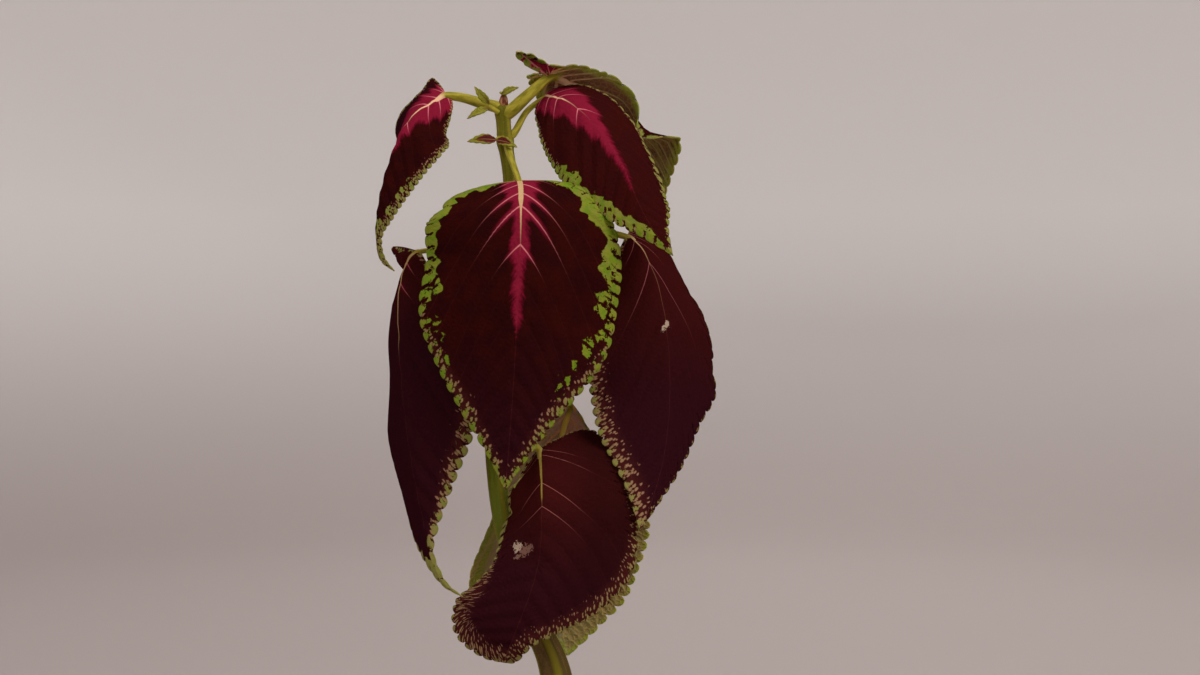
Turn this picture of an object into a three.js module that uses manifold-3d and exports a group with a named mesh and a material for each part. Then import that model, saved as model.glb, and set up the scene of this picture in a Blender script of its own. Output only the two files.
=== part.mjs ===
// A coleus with eight large leaves on one square stem, standing in a round nursery pot.
// Millimetres, +Z up, the plant's front towards -Y. The origin is the centre of the pot's underside.
import * as THREE from "three";
import Module from "manifold-3d";

const wasm = await Module();
wasm.setup();

// ---- driving dimensions ----
const pot = {
  height: 105,
  topRadius: 60,
  footRadius: 42.5,
  wall: 1.6,
  floor: 2.4,
  rimHeight: 14,
  rimStep: 2.2,
  rimEase: 0.8,
  drainRadius: 4,
  drainRing: 24,
  drains: 4,
  sides: 48,
};
const soilTop = 95;
const stemFoot = 40; // how low the stem reaches inside the soil
const clearance = 0.3; // between one node and the next

const stem = {
  // centre line from the growing tip down into the soil
  line: [
    [-23.8, 0, 366], [-24, 0, 360], [-23, 0, 347], [-20.8, 0, 331], [-21.5, 0, 306], [-24, 0, 276],
    [-26.5, 0, 251], [-28, 0, 226], [-27, 0, 209], [-24, 0, 188], [-18.5, 0, 167], [-11, 0, 146],
    [-4, 0, 131], [-1, 0, 119], [0, 0, 104], [0, 0, 72], [0, 0, stemFoot],
  ],
  // half the distance between two opposite faces, by height
  halfWidth: [
    [95, 6.2], [123, 5.9], [140, 4.9], [167, 3.9], [226, 3.3], [306, 3.1], [347, 2.9], [366, 1.6],
  ],
  nodeHeights: [361, 347.5, 299, 237, 112],
  nodeSwell: 0.7,
  nodeReach: 3,
  twist: 40, // degrees from tip to foot
  corner: 0.16, // how far the four corners stand out, as a share of the half width
  rings: 46,
  sides: 12,
};

const blade = {
  thickness: 0.8,
  ribDepth: 1.7, // midrib under the blade, at its base
  ribTaper: 0.75, // share of that depth lost by the tip
  scallop: 2.4, // depth of a notch between two crenations
  crest: [1 / 3, 3 / 4], // where a crenation is at its full width, from its notch to the next
  columns: [0, 0.3, 0.58, 0.82], // rows of vertices from midrib to margin
};
const petiole = {
  stemRadius: 2.1,
  bladeRadius: 1.5,
  sunk: [0.012, 0.035], // its last two points lie under the midrib, at these shares of its length
  depth: 0.9,
  rings: 12,
  sides: 8,
};

// Each side of a blade is given from its base to its tip.
// half: half width in mm. fold and curl: degrees that the side droops at the midrib, and from there to
// the margin. outline: [along, across] as shares of the midrib's length and of the half width.
// facing: where the upper face looks, at shares of the midrib's length.
// Left and right are as seen on the upper face with the tip down.
const leaves = [
  {
    name: "leaf_1_upper_left",
    teeth: 26,
    ruffle: [1.0, 2.6],
    petiole: [[-26, 0, 361.5], [-33.5, -1, 363.5], [-41, -2, 365.5], [-47.5, -3, 367]],
    midrib: [
      [-47.5, -3, 367], [-53, -7, 363], [-59, -10, 358.5], [-64.5, -13, 351.5], [-68, -15, 343],
      [-72, -17, 330], [-74.5, -18, 317], [-75, -18, 307], [-72.5, -17.5, 297.5], [-67.5, -17, 292],
    ],
    facing: [[0, [-0.1, -0.8, 0.5]], [0.3, [-0.5, -0.8, 0.4]], [1, [-0.7, -0.7, 0.2]]],
    left: {
      half: 26,
      fold: [[-0.1, -5], [0.1, 5], [0.2, 30], [0.3, 50], [0.45, 60], [0.75, 60], [0.85, 40], [1, 15]],
      curl: [[0, 10]],
      outline: [
        [0, 0], [-0.03, 0.3], [-0.03, 0.47], [0.07, 0.38], [0.14, 0.42], [0.24, 0.86], [0.36, 0.95],
        [0.6, 0.7], [0.82, 0.36], [0.93, 0.1], [1, 0],
      ],
    },
    right: {
      half: 26,
      fold: [[0, 19], [0.25, 12], [0.45, 8]],
      curl: [[0, 20], [1, 10]],
      outline: [
        [0, 0], [0, 0.16], [0.07, 0.4], [0.22, 0.8], [0.33, 0.88], [0.53, 0.66], [0.73, 0.34],
        [0.82, 0.13], [0.92, 0.05], [1, 0],
      ],
    },
  },
  {
    name: "leaf_2_upper_right_front",
    teeth: 28,
    ruffle: [0.8, 3.2],
    petiole: [[-20, 2, 350.5], [-14, 5.5, 361], [-7, 5, 367.5]],
    midrib: [
      [-7, 5, 367.5], [-4, 0, 366.5], [1.5, -8, 364], [9.5, -16, 357.5], [19.5, -24, 345],
      [26.5, -29, 333], [32.5, -33, 318], [38, -34, 308], [46, -33, 297.5],
    ],
    facing: [[0, [-0.1, -1, 0.5]], [0.3, [-0.1, -1, 0.3]], [1, [-0.1, -1, 0.2]]],
    left: {
      half: 26,
      fold: [[0, 10], [0.3, 10], [1, 8]],
      curl: [[0, 20], [1, 10]],
      outline: [
        [0, 0], [-0.02, 0.14], [0.05, 0.47], [0.21, 0.81], [0.36, 0.93], [0.52, 0.86], [0.71, 0.6],
        [0.86, 0.24], [0.94, 0.09], [1, 0],
      ],
    },
    right: {
      half: 28,
      fold: [[0, 5], [0.3, 30], [0.6, 38], [1, 35]],
      curl: [[0, 20], [0.3, 35], [1, 20]],
      outline: [
        [0, 0], [-0.02, 0.12], [0.1, 0.5], [0.27, 0.8], [0.41, 0.86], [0.58, 0.72], [0.74, 0.63],
        [0.82, 0.56], [0.92, 0.24], [1, 0],
      ],
    },
  },
  {
    name: "leaf_3_upper_right_back",
    teeth: 26,
    ruffle: [0.8, 2.8],
    petiole: [[-20.5, -1.5, 360], [-12.5, -3.5, 367], [-4, 0, 376]],
    midrib: [
      [-4, 0, 376], [0.5, 5, 375], [7, 12, 373.5], [17, 19, 369.5], [26.5, 27, 360.5], [35, 32, 345.5],
      [39, 34, 329], [40, 33, 316],
    ],
    facing: [[0, [0.2, 0.35, 0.9]], [0.3, [0.4, 0.5, 0.7]], [0.6, [0.65, 0.55, 0.4]], [1, [0.8, 0.6, 0]]],
    left: {
      half: 31,
      fold: [[-0.2, -30], [-0.12, -20], [-0.03, -8], [0.1, -12], [0.25, -5], [0.4, 0], [1, 5]],
      curl: [[-0.2, 60], [-0.05, 20], [0, 10], [0.36, 20], [0.46, 80], [0.54, 70], [0.64, 10]],
      outline: [
        [0, 0], [-0.12, 0.02], [-0.22, 0.03], [-0.27, 0.12], [-0.2, 0.2], [-0.06, 0.22], [0.02, 0.46],
        [0.17, 0.53], [0.33, 0.6], [0.45, 0.74], [0.57, 1.04], [0.67, 1.03], [0.81, 0.62], [0.9, 0.36],
        [1, 0],
      ],
    },
    right: {
      half: 31,
      fold: [[-0.1, 25], [0.1, 30], [1, 25]],
      curl: [[0, 10]],
      outline: [
        [0, 0], [-0.06, 0.06], [-0.1, 0.16], [-0.05, 0.29], [0.02, 0.38], [0.12, 0.7], [0.26, 0.89],
        [0.4, 0.86], [0.6, 0.67], [0.82, 0.33], [0.93, 0.12], [1, 0],
      ],
    },
  },
  {
    name: "leaf_4_centre",
    teeth: 30,
    ruffle: [1.0, 3.4],
    petiole: [[-22.5, -2, 347], [-20.5, -12, 340.5], [-16, -22, 329]],
    midrib: [
      [-16, -22, 329], [-15, -30, 325.5], [-14.5, -38, 317.5], [-14.5, -41, 303.5], [-15.5, -42, 284],
      [-16.5, -41, 260], [-18.5, -37, 232.5], [-21, -33, 204],
    ],
    facing: [[0, [0, -1, 0.3]]],
    left: {
      half: 45,
      fold: [[0, 2], [0.15, 8], [0.3, 12], [1, 10]],
      curl: [[0, 18], [0.3, 25], [1, 10]],
      outline: [
        [0, 0], [-0.04, 0.4], [-0.03, 0.66], [0.1, 0.85], [0.3, 0.97], [0.45, 0.98], [0.59, 0.88],
        [0.79, 0.46], [0.92, 0.16], [1, 0],
      ],
    },
    right: {
      half: 46,
      fold: [[0, 6], [0.3, 12], [1, 10]],
      curl: [[0, 18], [0.3, 25], [1, 10]],
      outline: [
        [0, 0], [0.035, 0.33], [0.075, 0.56], [0.16, 0.77], [0.3, 0.93], [0.45, 0.94], [0.62, 0.78],
        [0.8, 0.37], [0.92, 0.14], [1, 0],
      ],
    },
  },
  {
    name: "leaf_5_right",
    teeth: 28,
    ruffle: [1.0, 3.8],
    petiole: [[-20, -0.5, 300], [0, -2, 305.5], [16.5, -3, 309], [28.5, -4, 308]],
    midrib: [
      [28.5, -4, 308], [34, -7, 302.5], [39, -9, 292.5], [42.5, -11, 280.5], [45, -13, 262],
      [45.5, -16, 239.5], [43, -21, 217], [38, -26, 199.5], [33, -30, 187.5],
    ],
    facing: [[0, [0.3, -0.9, 0.4]], [1, [0.3, -0.95, 0.1]]],
    left: {
      half: 37,
      fold: [[0, 10], [0.3, 12], [1, 10]],
      curl: [[0, 20], [1, 10]],
      outline: [
        [0, 0], [0.015, 0.18], [0.09, 0.5], [0.22, 0.76], [0.38, 0.92], [0.55, 0.9], [0.71, 0.76],
        [0.8, 0.58], [0.88, 0.34], [0.95, 0.15], [1, 0],
      ],
    },
    right: {
      half: 34,
      fold: [[0, 26], [0.12, 32], [0.22, 34], [0.35, 26], [1, 20]],
      curl: [[0, 20], [1, 15]],
      outline: [
        [0, 0], [-0.04, 0.3], [0.05, 0.62], [0.2, 0.88], [0.33, 1], [0.4, 1.08], [0.46, 0.93],
        [0.53, 0.92], [0.62, 0.62], [0.75, 0.36], [0.9, 0.12], [1, 0],
      ],
    },
  },
  {
    name: "leaf_6_left",
    teeth: 30,
    ruffle: [0.9, 3.1],
    petiole: [[-24.5, -0.5, 299], [-42, -3, 301.5], [-59, -4, 302]],
    midrib: [
      [-59, -4, 302], [-63.5, -6, 297], [-66.5, -8, 287], [-67, -9, 276.5], [-66.5, -11, 262],
      [-63.5, -13, 231], [-59.5, -15, 206.5], [-55, -18, 186.5], [-51.5, -22, 174], [-46, -26, 165.5],
      [-38.5, -30, 161],
    ],
    facing: [[0, [-0.5, -0.85, 0.2]], [0.15, [-0.6, -0.8, 0.15]], [1, [-0.55, -0.8, 0.1]]],
    left: {
      half: 34,
      fold: [[0, 5], [0.035, 8], [0.065, 56], [0.1, 46], [0.16, 37], [0.3, 34], [0.5, 30], [1, 33]],
      curl: [[0, 10]],
      outline: [
        [0, 0], [0.02, 0.1], [0.028, 0.22], [0.03, 0.4], [0.045, 0.37], [0.065, 0.32], [0.13, 0.62],
        [0.28, 0.9], [0.45, 0.98], [0.62, 0.88], [0.77, 0.6], [0.86, 0.24], [0.93, 0.08], [1, 0],
      ],
    },
    right: {
      half: 38,
      fold: [[0, 10], [0.3, 12], [1, 10]],
      curl: [[0, 20], [1, 10]],
      outline: [
        [0, 0], [0.02, 0.25], [0.12, 0.67], [0.27, 0.92], [0.42, 0.94], [0.56, 0.75], [0.68, 0.45],
        [0.78, 0.18], [0.83, 0.07], [0.92, 0.04], [1, 0],
      ],
    },
  },
  {
    name: "leaf_7_bottom_front",
    teeth: 30,
    ruffle: [0.8, 3.5],
    petiole: [[-27.5, -2, 234], [-20, -12, 229], [-8, -18, 220]],
    midrib: [
      [-8, -18, 220], [-7.5, -24, 216.5], [-7, -28, 210.5], [-6.5, -32, 196.5], [-7, -34, 181],
      [-9.5, -35, 168], [-13.5, -35, 156.5], [-18, -33, 145], [-22, -27.5, 134],
    ],
    facing: [[0, [-0.1, -1, 0.3]], [0.5, [-0.1, -1, 0.1]]],
    left: {
      half: 40,
      fold: [[0, 40], [0.3, 48], [0.6, 20], [1, 5]],
      curl: [[0, 20], [1, 10]],
      outline: [
        [0, 0], [0, 0.35], [0.14, 0.62], [0.32, 0.74], [0.48, 0.6], [0.58, 0.55], [0.72, 0.62],
        [0.85, 0.74], [0.96, 0.68], [1.02, 0.5], [1.03, 0.2], [1, 0],
      ],
    },
    right: {
      half: 42,
      fold: [[0, 8], [0.3, 12], [0.6, 10], [1, 5]],
      curl: [[0, 15], [1, 10]],
      outline: [
        [0, 0], [-0.07, 0.2], [-0.13, 0.4], [-0.13, 0.56], [0, 0.7], [0.12, 0.8], [0.3, 0.94],
        [0.5, 0.93], [0.6, 0.78], [0.75, 0.45], [0.86, 0.22], [0.98, 0.1], [1, 0],
      ],
    },
  },
  {
    name: "leaf_8_bottom_back",
    teeth: 26,
    ruffle: [0.8, 3.0],
    petiole: [[-26, 2, 236], [-12.5, 14, 238.5], [4.5, 22, 237]],
    midrib: [
      [4.5, 22, 237], [2, 27, 229], [-0.5, 30, 220], [-4, 34, 193], [-3.5, 34, 166.5], [-0.5, 30, 141],
      [3, 26, 126],
    ],
    facing: [[0, [0, 1, 0.3]], [1, [0, 1, 0.2]]],
    left: {
      half: 40,
      fold: [[0, 50], [0.15, 25], [0.45, 12], [1, 10]],
      curl: [[0, 10]],
      outline: [
        [0, 0], [0.01, 0.22], [0.04, 0.42], [0.07, 0.82], [0.16, 1], [0.34, 1.1], [0.5, 1.12],
        [0.68, 1], [0.83, 0.77], [0.93, 0.42], [1, 0],
      ],
    },
    right: {
      half: 40,
      fold: [[0, 50], [0.15, 40], [0.45, 38], [0.7, 20], [1, 10]],
      curl: [[0, 10]],
      outline: [
        [0, 0], [0.01, 0.2], [0.04, 0.36], [0.15, 0.58], [0.34, 0.78], [0.55, 0.94], [0.7, 1],
        [0.82, 0.86], [0.92, 0.46], [1, 0],
      ],
    },
  },
];

// Small leaflets at the tip and in the two upper axils: base, tip, half width and where each one faces.
const shoots = [
  {
    name: "shoot_tip",
    bud: { foot: [-24, 0, 366.6], top: [-23.5, -0.5, 370.5], radius: 1.7 },
    leaflets: [
      { base: [-23.5, -1, 368], tip: [-17.5, -2, 369.8], half: 1.7, facing: [0.1, -0.8, 0.6] },
      { base: [-24, 0.6, 368], tip: [-24.5, 5.5, 369], half: 1.5, facing: [0, 0.4, 0.9] },
    ],
  },
  {
    name: "side_shoot_left",
    bud: { foot: [-26.6, -3, 358.6], top: [-29.6, -5.2, 361.4], radius: 1.1 },
    leaflets: [
      { base: [-29.3, -5.2, 361.4], tip: [-35.5, -6.5, 369.5], half: 1.7, facing: [-0.4, -0.8, -0.2] },
      { base: [-29.3, -5.2, 361], tip: [-38.5, -7.5, 356], half: 2, facing: [-0.3, -0.6, 0.7] },
    ],
  },
  {
    name: "side_shoot_front",
    bud: { foot: [-24.5, -4.6, 348], top: [-26.3, -9.6, 347.4], radius: 1.2 },
    leaflets: [
      { base: [-26.1, -9.4, 347], tip: [-38, -12, 345.8], half: 2.4, facing: [0, -0.8, 0.6] },
      { base: [-26.1, -9.4, 347], tip: [-17.8, -12.6, 344], half: 2, facing: [0.1, -0.7, 0.7] },
    ],
  },
];

// ---- small helpers ----
const vector = (p) => new THREE.Vector3(p[0], p[1], p[2]);
const radians = (degrees) => (degrees * Math.PI) / 180;

// Straight-line reading of a list of [place, value] keys.
function readKeys(keys, place) {
  if (place <= keys[0][0]) return keys[0][1];
  for (let i = 1; i < keys.length; i++) {
    const [from, low] = keys[i - 1];
    const [to, high] = keys[i];
    if (place <= to) return low + ((high - low) * (place - from)) / (to - from);
  }
  return keys[keys.length - 1][1];
}

function curveThrough(points) {
  const curve = new THREE.CatmullRomCurve3(points.map(vector), false, "centripetal");
  curve.arcLengthDivisions = 400;
  return curve;
}

// Collects triangles by corner, sharing corners that meet and dropping slivers with no area.
class MeshBuilder {
  constructor() {
    this.corners = [];
    this.indexOf = new Map();
    this.triangles = [];
  }
  corner(p) {
    const key = [p.x, p.y, p.z].map((value) => Math.round(value * 1000)).join();
    if (!this.indexOf.has(key)) {
      this.indexOf.set(key, this.corners.length / 3);
      this.corners.push(p.x, p.y, p.z);
    }
    return this.indexOf.get(key);
  }
  triangle(a, b, c) {
    const [i, j, k] = [this.corner(a), this.corner(b), this.corner(c)];
    if (i !== j && j !== k && k !== i) this.triangles.push(i, j, k);
  }
  quad(a, b, c, d) {
    this.triangle(a, b, c);
    this.triangle(a, c, d);
  }
  solid() {
    const mesh = new wasm.Mesh({
      numProp: 3,
      vertProperties: new Float32Array(this.corners),
      triVerts: new Uint32Array(this.triangles),
    });
    return new wasm.Manifold(mesh);
  }
}

function solidToGeometry(solid) {
  const mesh = solid.getMesh();
  const geometry = new THREE.BufferGeometry();
  geometry.setAttribute("position", new THREE.BufferAttribute(new Float32Array(mesh.vertProperties), 3));
  geometry.setIndex(new THREE.BufferAttribute(new Uint32Array(mesh.triVerts), 1));
  geometry.computeVertexNormals();
  return geometry;
}

// A closed tube through points. section(ring share) gives the outline's points in the ring's plane.
function sweep(points, rings, section) {
  const curve = curveThrough(points);
  const builder = new MeshBuilder();
  const loops = [];
  for (let i = 0; i <= rings; i++) {
    const share = i / rings;
    const centre = curve.getPointAt(share);
    const along = curve.getTangentAt(share);
    const across = new THREE.Vector3(1, 0, 0);
    if (Math.abs(along.x) > 0.8) across.set(0, 1, 0);
    across.addScaledVector(along, -across.dot(along)).normalize();
    const up = new THREE.Vector3().crossVectors(along, across);
    const place = ([u, v]) => centre.clone().addScaledVector(across, u).addScaledVector(up, v);
    loops.push({ centre, ring: section(share, centre).map(place) });
  }
  const sides = loops[0].ring.length;
  for (let i = 0; i < rings; i++)
    for (let j = 0; j < sides; j++) {
      const k = (j + 1) % sides;
      builder.quad(loops[i].ring[j], loops[i].ring[k], loops[i + 1].ring[k], loops[i + 1].ring[j]);
    }
  const last = loops[rings];
  for (let j = 0; j < sides; j++) {
    const k = (j + 1) % sides;
    builder.triangle(loops[0].centre, loops[0].ring[k], loops[0].ring[j]);
    builder.triangle(last.centre, last.ring[j], last.ring[k]);
  }
  return builder.solid();
}

function roundSection(radius, sides) {
  const points = [];
  for (let j = 0; j < sides; j++) {
    const angle = (2 * Math.PI * j) / sides;
    points.push([radius * Math.cos(angle), radius * Math.sin(angle)]);
  }
  return points;
}

// ---- leaves ----
// The flat outline of one side, as evenly spaced points [along, across].
function flatOutline(side, length, count) {
  const scaled = side.outline.map(([along, across]) => [along * length, across * side.half, 0]);
  const curve = curveThrough(scaled);
  const points = [];
  for (let i = 0; i <= count; i++) {
    const p = curve.getPointAt(i / count);
    points.push([p.x, p.y]);
  }
  return points;
}

class Blade {
  constructor(leaf) {
    this.leaf = leaf;
    this.curve = curveThrough(leaf.midrib);
    this.length = this.curve.getLength();
  }
  // Midrib point, direction, upper normal and rightward direction at a share of the length.
  frame(share) {
    const at = Math.min(Math.max(share, 0), 1);
    const point = this.curve.getPointAt(at);
    const along = this.curve.getTangentAt(at);
    point.addScaledVector(along, (share - at) * this.length);
    const facing = this.leaf.facing;
    const axis = (n) => readKeys(facing.map(([place, v]) => [place, v[n]]), at);
    const normal = new THREE.Vector3(axis(0), axis(1), axis(2));
    normal.addScaledVector(along, -normal.dot(along)).normalize();
    const right = new THREE.Vector3().crossVectors(normal, along);
    return { point, along, normal, right };
  }
  // The bent blade at flat place [x along, y across from the midrib], in mm. sign is -1 left, 1 right.
  surface(x, y, sign) {
    const side = sign < 0 ? this.leaf.left : this.leaf.right;
    const share = x / this.length;
    const across = y / side.half;
    const fold = radians(readKeys(side.fold, share));
    const curl = radians(readKeys(side.curl, share)) || 1e-3;
    const turn = fold + curl * across;
    const out = (side.half / curl) * (Math.sin(turn) - Math.sin(fold));
    const drop = (side.half / curl) * (Math.cos(fold) - Math.cos(turn));
    const { point, normal, right } = this.frame(share);
    const [height, waves] = this.leaf.ruffle;
    const wave = height * across ** 2 * Math.sin(2 * Math.PI * (waves * share + (sign > 0 ? 0.25 : 0.6)));
    const lift = normal.clone().multiplyScalar(Math.cos(turn));
    lift.addScaledVector(right, sign * Math.sin(turn));
    point.addScaledVector(right, sign * out).addScaledVector(normal, -drop);
    return point.addScaledVector(lift, wave);
  }
  normal(x, y, sign) {
    const step = 0.5;
    const ahead = this.surface(x + step, y, sign).sub(this.surface(x - step, y, sign));
    const inner = Math.max(y - step, 0);
    const outward = this.surface(x, y + step, sign).sub(this.surface(x, inner, sign));
    return outward.cross(ahead).multiplyScalar(-sign).normalize();
  }
}

// Where the inner rows of vertices meet the midrib, for a share of the way round the outline.
const midribPlace = (share) => 0.06 * share + 0.94 * share ** 2.6;

// The margin of one side: a notch and two crest points for each crenation, smaller towards base and tip.
function crenateMargin(side, length, teeth) {
  const steps = 12; // outline points to a crenation
  const reach = 3; // how many of them either way give the margin's direction
  const count = teeth * steps;
  const smooth = flatOutline(side, length, count);
  const margin = [];
  for (let tooth = 0; tooth < teeth; tooth++) {
    const taper = Math.min(1, (tooth + 0.5) / 3, (teeth - tooth) / 4);
    for (const offset of [0, blade.crest[0] * steps, blade.crest[1] * steps]) {
      const i = tooth * steps + offset;
      const [x, y] = smooth[i];
      const [x0, y0] = smooth[Math.max(i - reach, 0)];
      const [x1, y1] = smooth[Math.min(i + reach, count)];
      const run = Math.hypot(x1 - x0, y1 - y0);
      const depth = offset === 0 && tooth > 0 ? taper * blade.scallop : 0;
      const inward = y - (depth * (x1 - x0)) / run;
      margin.push([x + (depth * (y1 - y0)) / run, i > 0 ? Math.max(inward, 0.1) : 0]);
    }
  }
  margin.push(smooth[count]);
  return margin;
}

function bladeSolid(leaf) {
  const form = new Blade(leaf);
  const builder = new MeshBuilder();
  const bands = leaf.teeth / 2; // two crenations, six stretches of margin, to a band of the blade
  const half = blade.thickness / 2;
  for (const sign of [-1, 1]) {
    const side = sign < 0 ? leaf.left : leaf.right;
    const margin = crenateMargin(side, form.length, leaf.teeth);
    // upper and lower vertex at a flat place; the midrib's own row is thickened downwards
    const pair = (x, y) => {
      const onMidrib = y < 0.01;
      const middle = form.surface(x, y, sign);
      const frame = onMidrib ? form.frame(x / form.length) : null;
      const normal = onMidrib ? frame.normal : form.normal(x, y, sign);
      const rib = onMidrib ? blade.ribDepth * (1 - (blade.ribTaper * x) / form.length) : 0;
      return {
        up: middle.clone().addScaledVector(normal, half),
        down: middle.clone().addScaledVector(normal, -half - rib),
      };
    };
    const rows = [];
    for (let i = 0; i <= bands; i++) {
      const [mx, my] = margin[i * 6];
      const root = midribPlace(i / bands) * form.length;
      rows.push(blade.columns.map((v) => pair(root * (1 - v) + mx * v, my * v)));
    }
    const edge = margin.map(([x, y]) => pair(x, y));
    const face = (a, b, c, key) => {
      const forward = (key === "up") === sign < 0;
      if (forward) builder.triangle(a[key], b[key], c[key]);
      else builder.triangle(a[key], c[key], b[key]);
    };
    for (const key of ["up", "down"])
      for (let i = 0; i < bands; i++) {
        const [low, high] = [rows[i], rows[i + 1]];
        for (let j = 0; j + 1 < low.length; j++) {
          face(low[j], low[j + 1], high[j + 1], key);
          face(low[j], high[j + 1], high[j], key);
        }
        const [inner, next] = [low[low.length - 1], high[high.length - 1]];
        const rim = edge.slice(i * 6, i * 6 + 7);
        for (let k = 0; k < 3; k++) face(inner, rim[k], rim[k + 1], key);
        face(inner, rim[3], next, key);
        for (let k = 3; k < 6; k++) face(next, rim[k], rim[k + 1], key);
      }
    for (let k = 0; k + 1 < edge.length; k++) {
      const [a, b] = sign < 0 ? [edge[k], edge[k + 1]] : [edge[k + 1], edge[k]];
      builder.quad(a.up, a.down, b.down, b.up);
    }
  }
  return builder.solid();
}

function petioleSolid(leaf) {
  const form = new Blade(leaf);
  const inside = petiole.sunk.map((share) => {
    const { point, normal } = form.frame(share);
    return point.addScaledVector(normal, -petiole.depth).toArray();
  });
  const { stemRadius, bladeRadius, rings, sides } = petiole;
  const section = (share) => roundSection(stemRadius + (bladeRadius - stemRadius) * share, sides);
  return sweep([...leaf.petiole.slice(0, -1), ...inside], rings, section);
}

// ---- stem, tip and side shoots ----
function stemSection(extra) {
  return (share, centre) => {
    let half = readKeys(stem.halfWidth, centre.z) + extra;
    for (const height of stem.nodeHeights)
      half += stem.nodeSwell * Math.exp(-(((centre.z - height) / stem.nodeReach) ** 2));
    const turn = radians(stem.twist) * share;
    const points = [];
    for (let j = 0; j < stem.sides; j++) {
      const angle = (2 * Math.PI * j) / stem.sides;
      const radius = half * (1 + stem.corner * (0.5 - 0.5 * Math.cos(4 * angle)));
      points.push([radius * Math.cos(angle + turn), radius * Math.sin(angle + turn)]);
    }
    return points;
  };
}
const stemSolid = (extra) => sweep(stem.line, stem.rings, stemSection(extra));

// A little pointed leaflet, built like a blade with a few crenations.
function leafletSolid({ base, tip, half, facing }) {
  const [from, to] = [vector(base), vector(tip)];
  const middle = from.clone().lerp(to, 0.5).addScaledVector(vector(facing), 0.12 * from.distanceTo(to));
  const side = {
    half,
    fold: [[0, -18]],
    curl: [[0, 12]],
    outline: [[0, 0], [0.1, 0.55], [0.35, 1], [0.65, 0.75], [0.88, 0.3], [1, 0]],
  };
  return bladeSolid({
    teeth: 4,
    ruffle: [0, 1],
    midrib: [base, middle.toArray(), tip],
    facing: [[0, facing]],
    left: side,
    right: side,
  });
}

function shootSolid(shoot) {
  const { foot, top, radius } = shoot.bud;
  const middle = vector(foot).lerp(vector(top), 0.5).toArray();
  const taper = (share) => roundSection(radius * Math.cos(share * 1.25), 8);
  let solid = sweep([foot, middle, top], 4, taper);
  for (const leaflet of shoot.leaflets) solid = solid.add(leafletSolid(leaflet));
  return solid;
}

// ---- pot and soil ----
function lathe(profile, sides) {
  const points = profile.map(([r, z]) => new THREE.Vector2(r, z));
  const geometry = new THREE.LatheGeometry(points, sides);
  geometry.rotateX(Math.PI / 2);
  const position = geometry.getAttribute("position");
  const index = geometry.getIndex();
  const builder = new MeshBuilder();
  const at = (n) => new THREE.Vector3().fromBufferAttribute(position, index.getX(n));
  for (let n = 0; n < index.count; n += 3) builder.triangle(at(n), at(n + 1), at(n + 2));
  return builder.solid();
}

// The outside of the pot's wall at a height, below the rim.
const potRadius = (z) => pot.footRadius + ((pot.topRadius - pot.rimStep - pot.footRadius) * z) / pot.height;

function potSolid() {
  const { height, topRadius, wall, floor, rimHeight, rimEase, drainRadius } = pot;
  const lip = height - rimHeight;
  const profile = [
    [0, 0],
    [potRadius(0), 0],
    [potRadius(lip), lip],
    [topRadius - rimEase, lip + rimEase],
    [topRadius, height - rimEase],
    [topRadius - rimEase, height],
    [potRadius(height) - wall, height],
    [potRadius(floor) - wall, floor],
    [0, floor],
  ];
  const drill = lathe([[0, -1], [drainRadius, -1], [drainRadius, floor + 1], [0, floor + 1]], 16);
  let solid = lathe(profile, pot.sides);
  for (let i = 0; i < pot.drains; i++) {
    const angle = (2 * Math.PI * (i + 0.5)) / pot.drains;
    const place = [pot.drainRing * Math.cos(angle), pot.drainRing * Math.sin(angle), 0];
    solid = solid.subtract(drill.translate(place));
  }
  return solid;
}

function soilSolid(stemHole) {
  const low = pot.floor + clearance;
  const inside = (z) => potRadius(z) - pot.wall - clearance;
  const profile = [
    [0, low],
    [inside(low), low],
    [inside(soilTop), soilTop - 2],
    [inside(soilTop) - 6, soilTop - 0.5],
    [0, soilTop],
  ];
  return lathe(profile, pot.sides).subtract(stemHole);
}

// ---- assembly ----
const colours = {
  pot: [0x6b3a2a, 0.75],
  soil: [0x2b1f17, 0.95],
  stem: [0x8d9a3c, 0.6],
  shoot: [0xa3a648, 0.6],
  leaf: [0x5a1424, 0.6],
};
function material([color, roughness]) {
  return new THREE.MeshStandardMaterial({ color, roughness, metalness: 0 });
}

const plant = new THREE.Group();
function addNode(name, solid, colour) {
  const mesh = new THREE.Mesh(solidToGeometry(solid), material(colour));
  mesh.name = name;
  plant.add(mesh);
}

const stemRoom = stemSolid(clearance);
addNode("pot", potSolid(), colours.pot);
addNode("soil", soilSolid(stemRoom), colours.soil);
addNode("stem", stemSolid(0), colours.stem);
for (const shoot of shoots) addNode(shoot.name, shootSolid(shoot).subtract(stemRoom), colours.shoot);
for (const leaf of leaves) {
  const grown = bladeSolid(leaf).add(petioleSolid(leaf));
  addNode(leaf.name, grown.subtract(stemRoom), colours.leaf);
}

export default plant;
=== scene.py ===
# A potted coleus: fine leaves, stem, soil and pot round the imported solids. Metres, +Z up, front towards -Y.
import math

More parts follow.
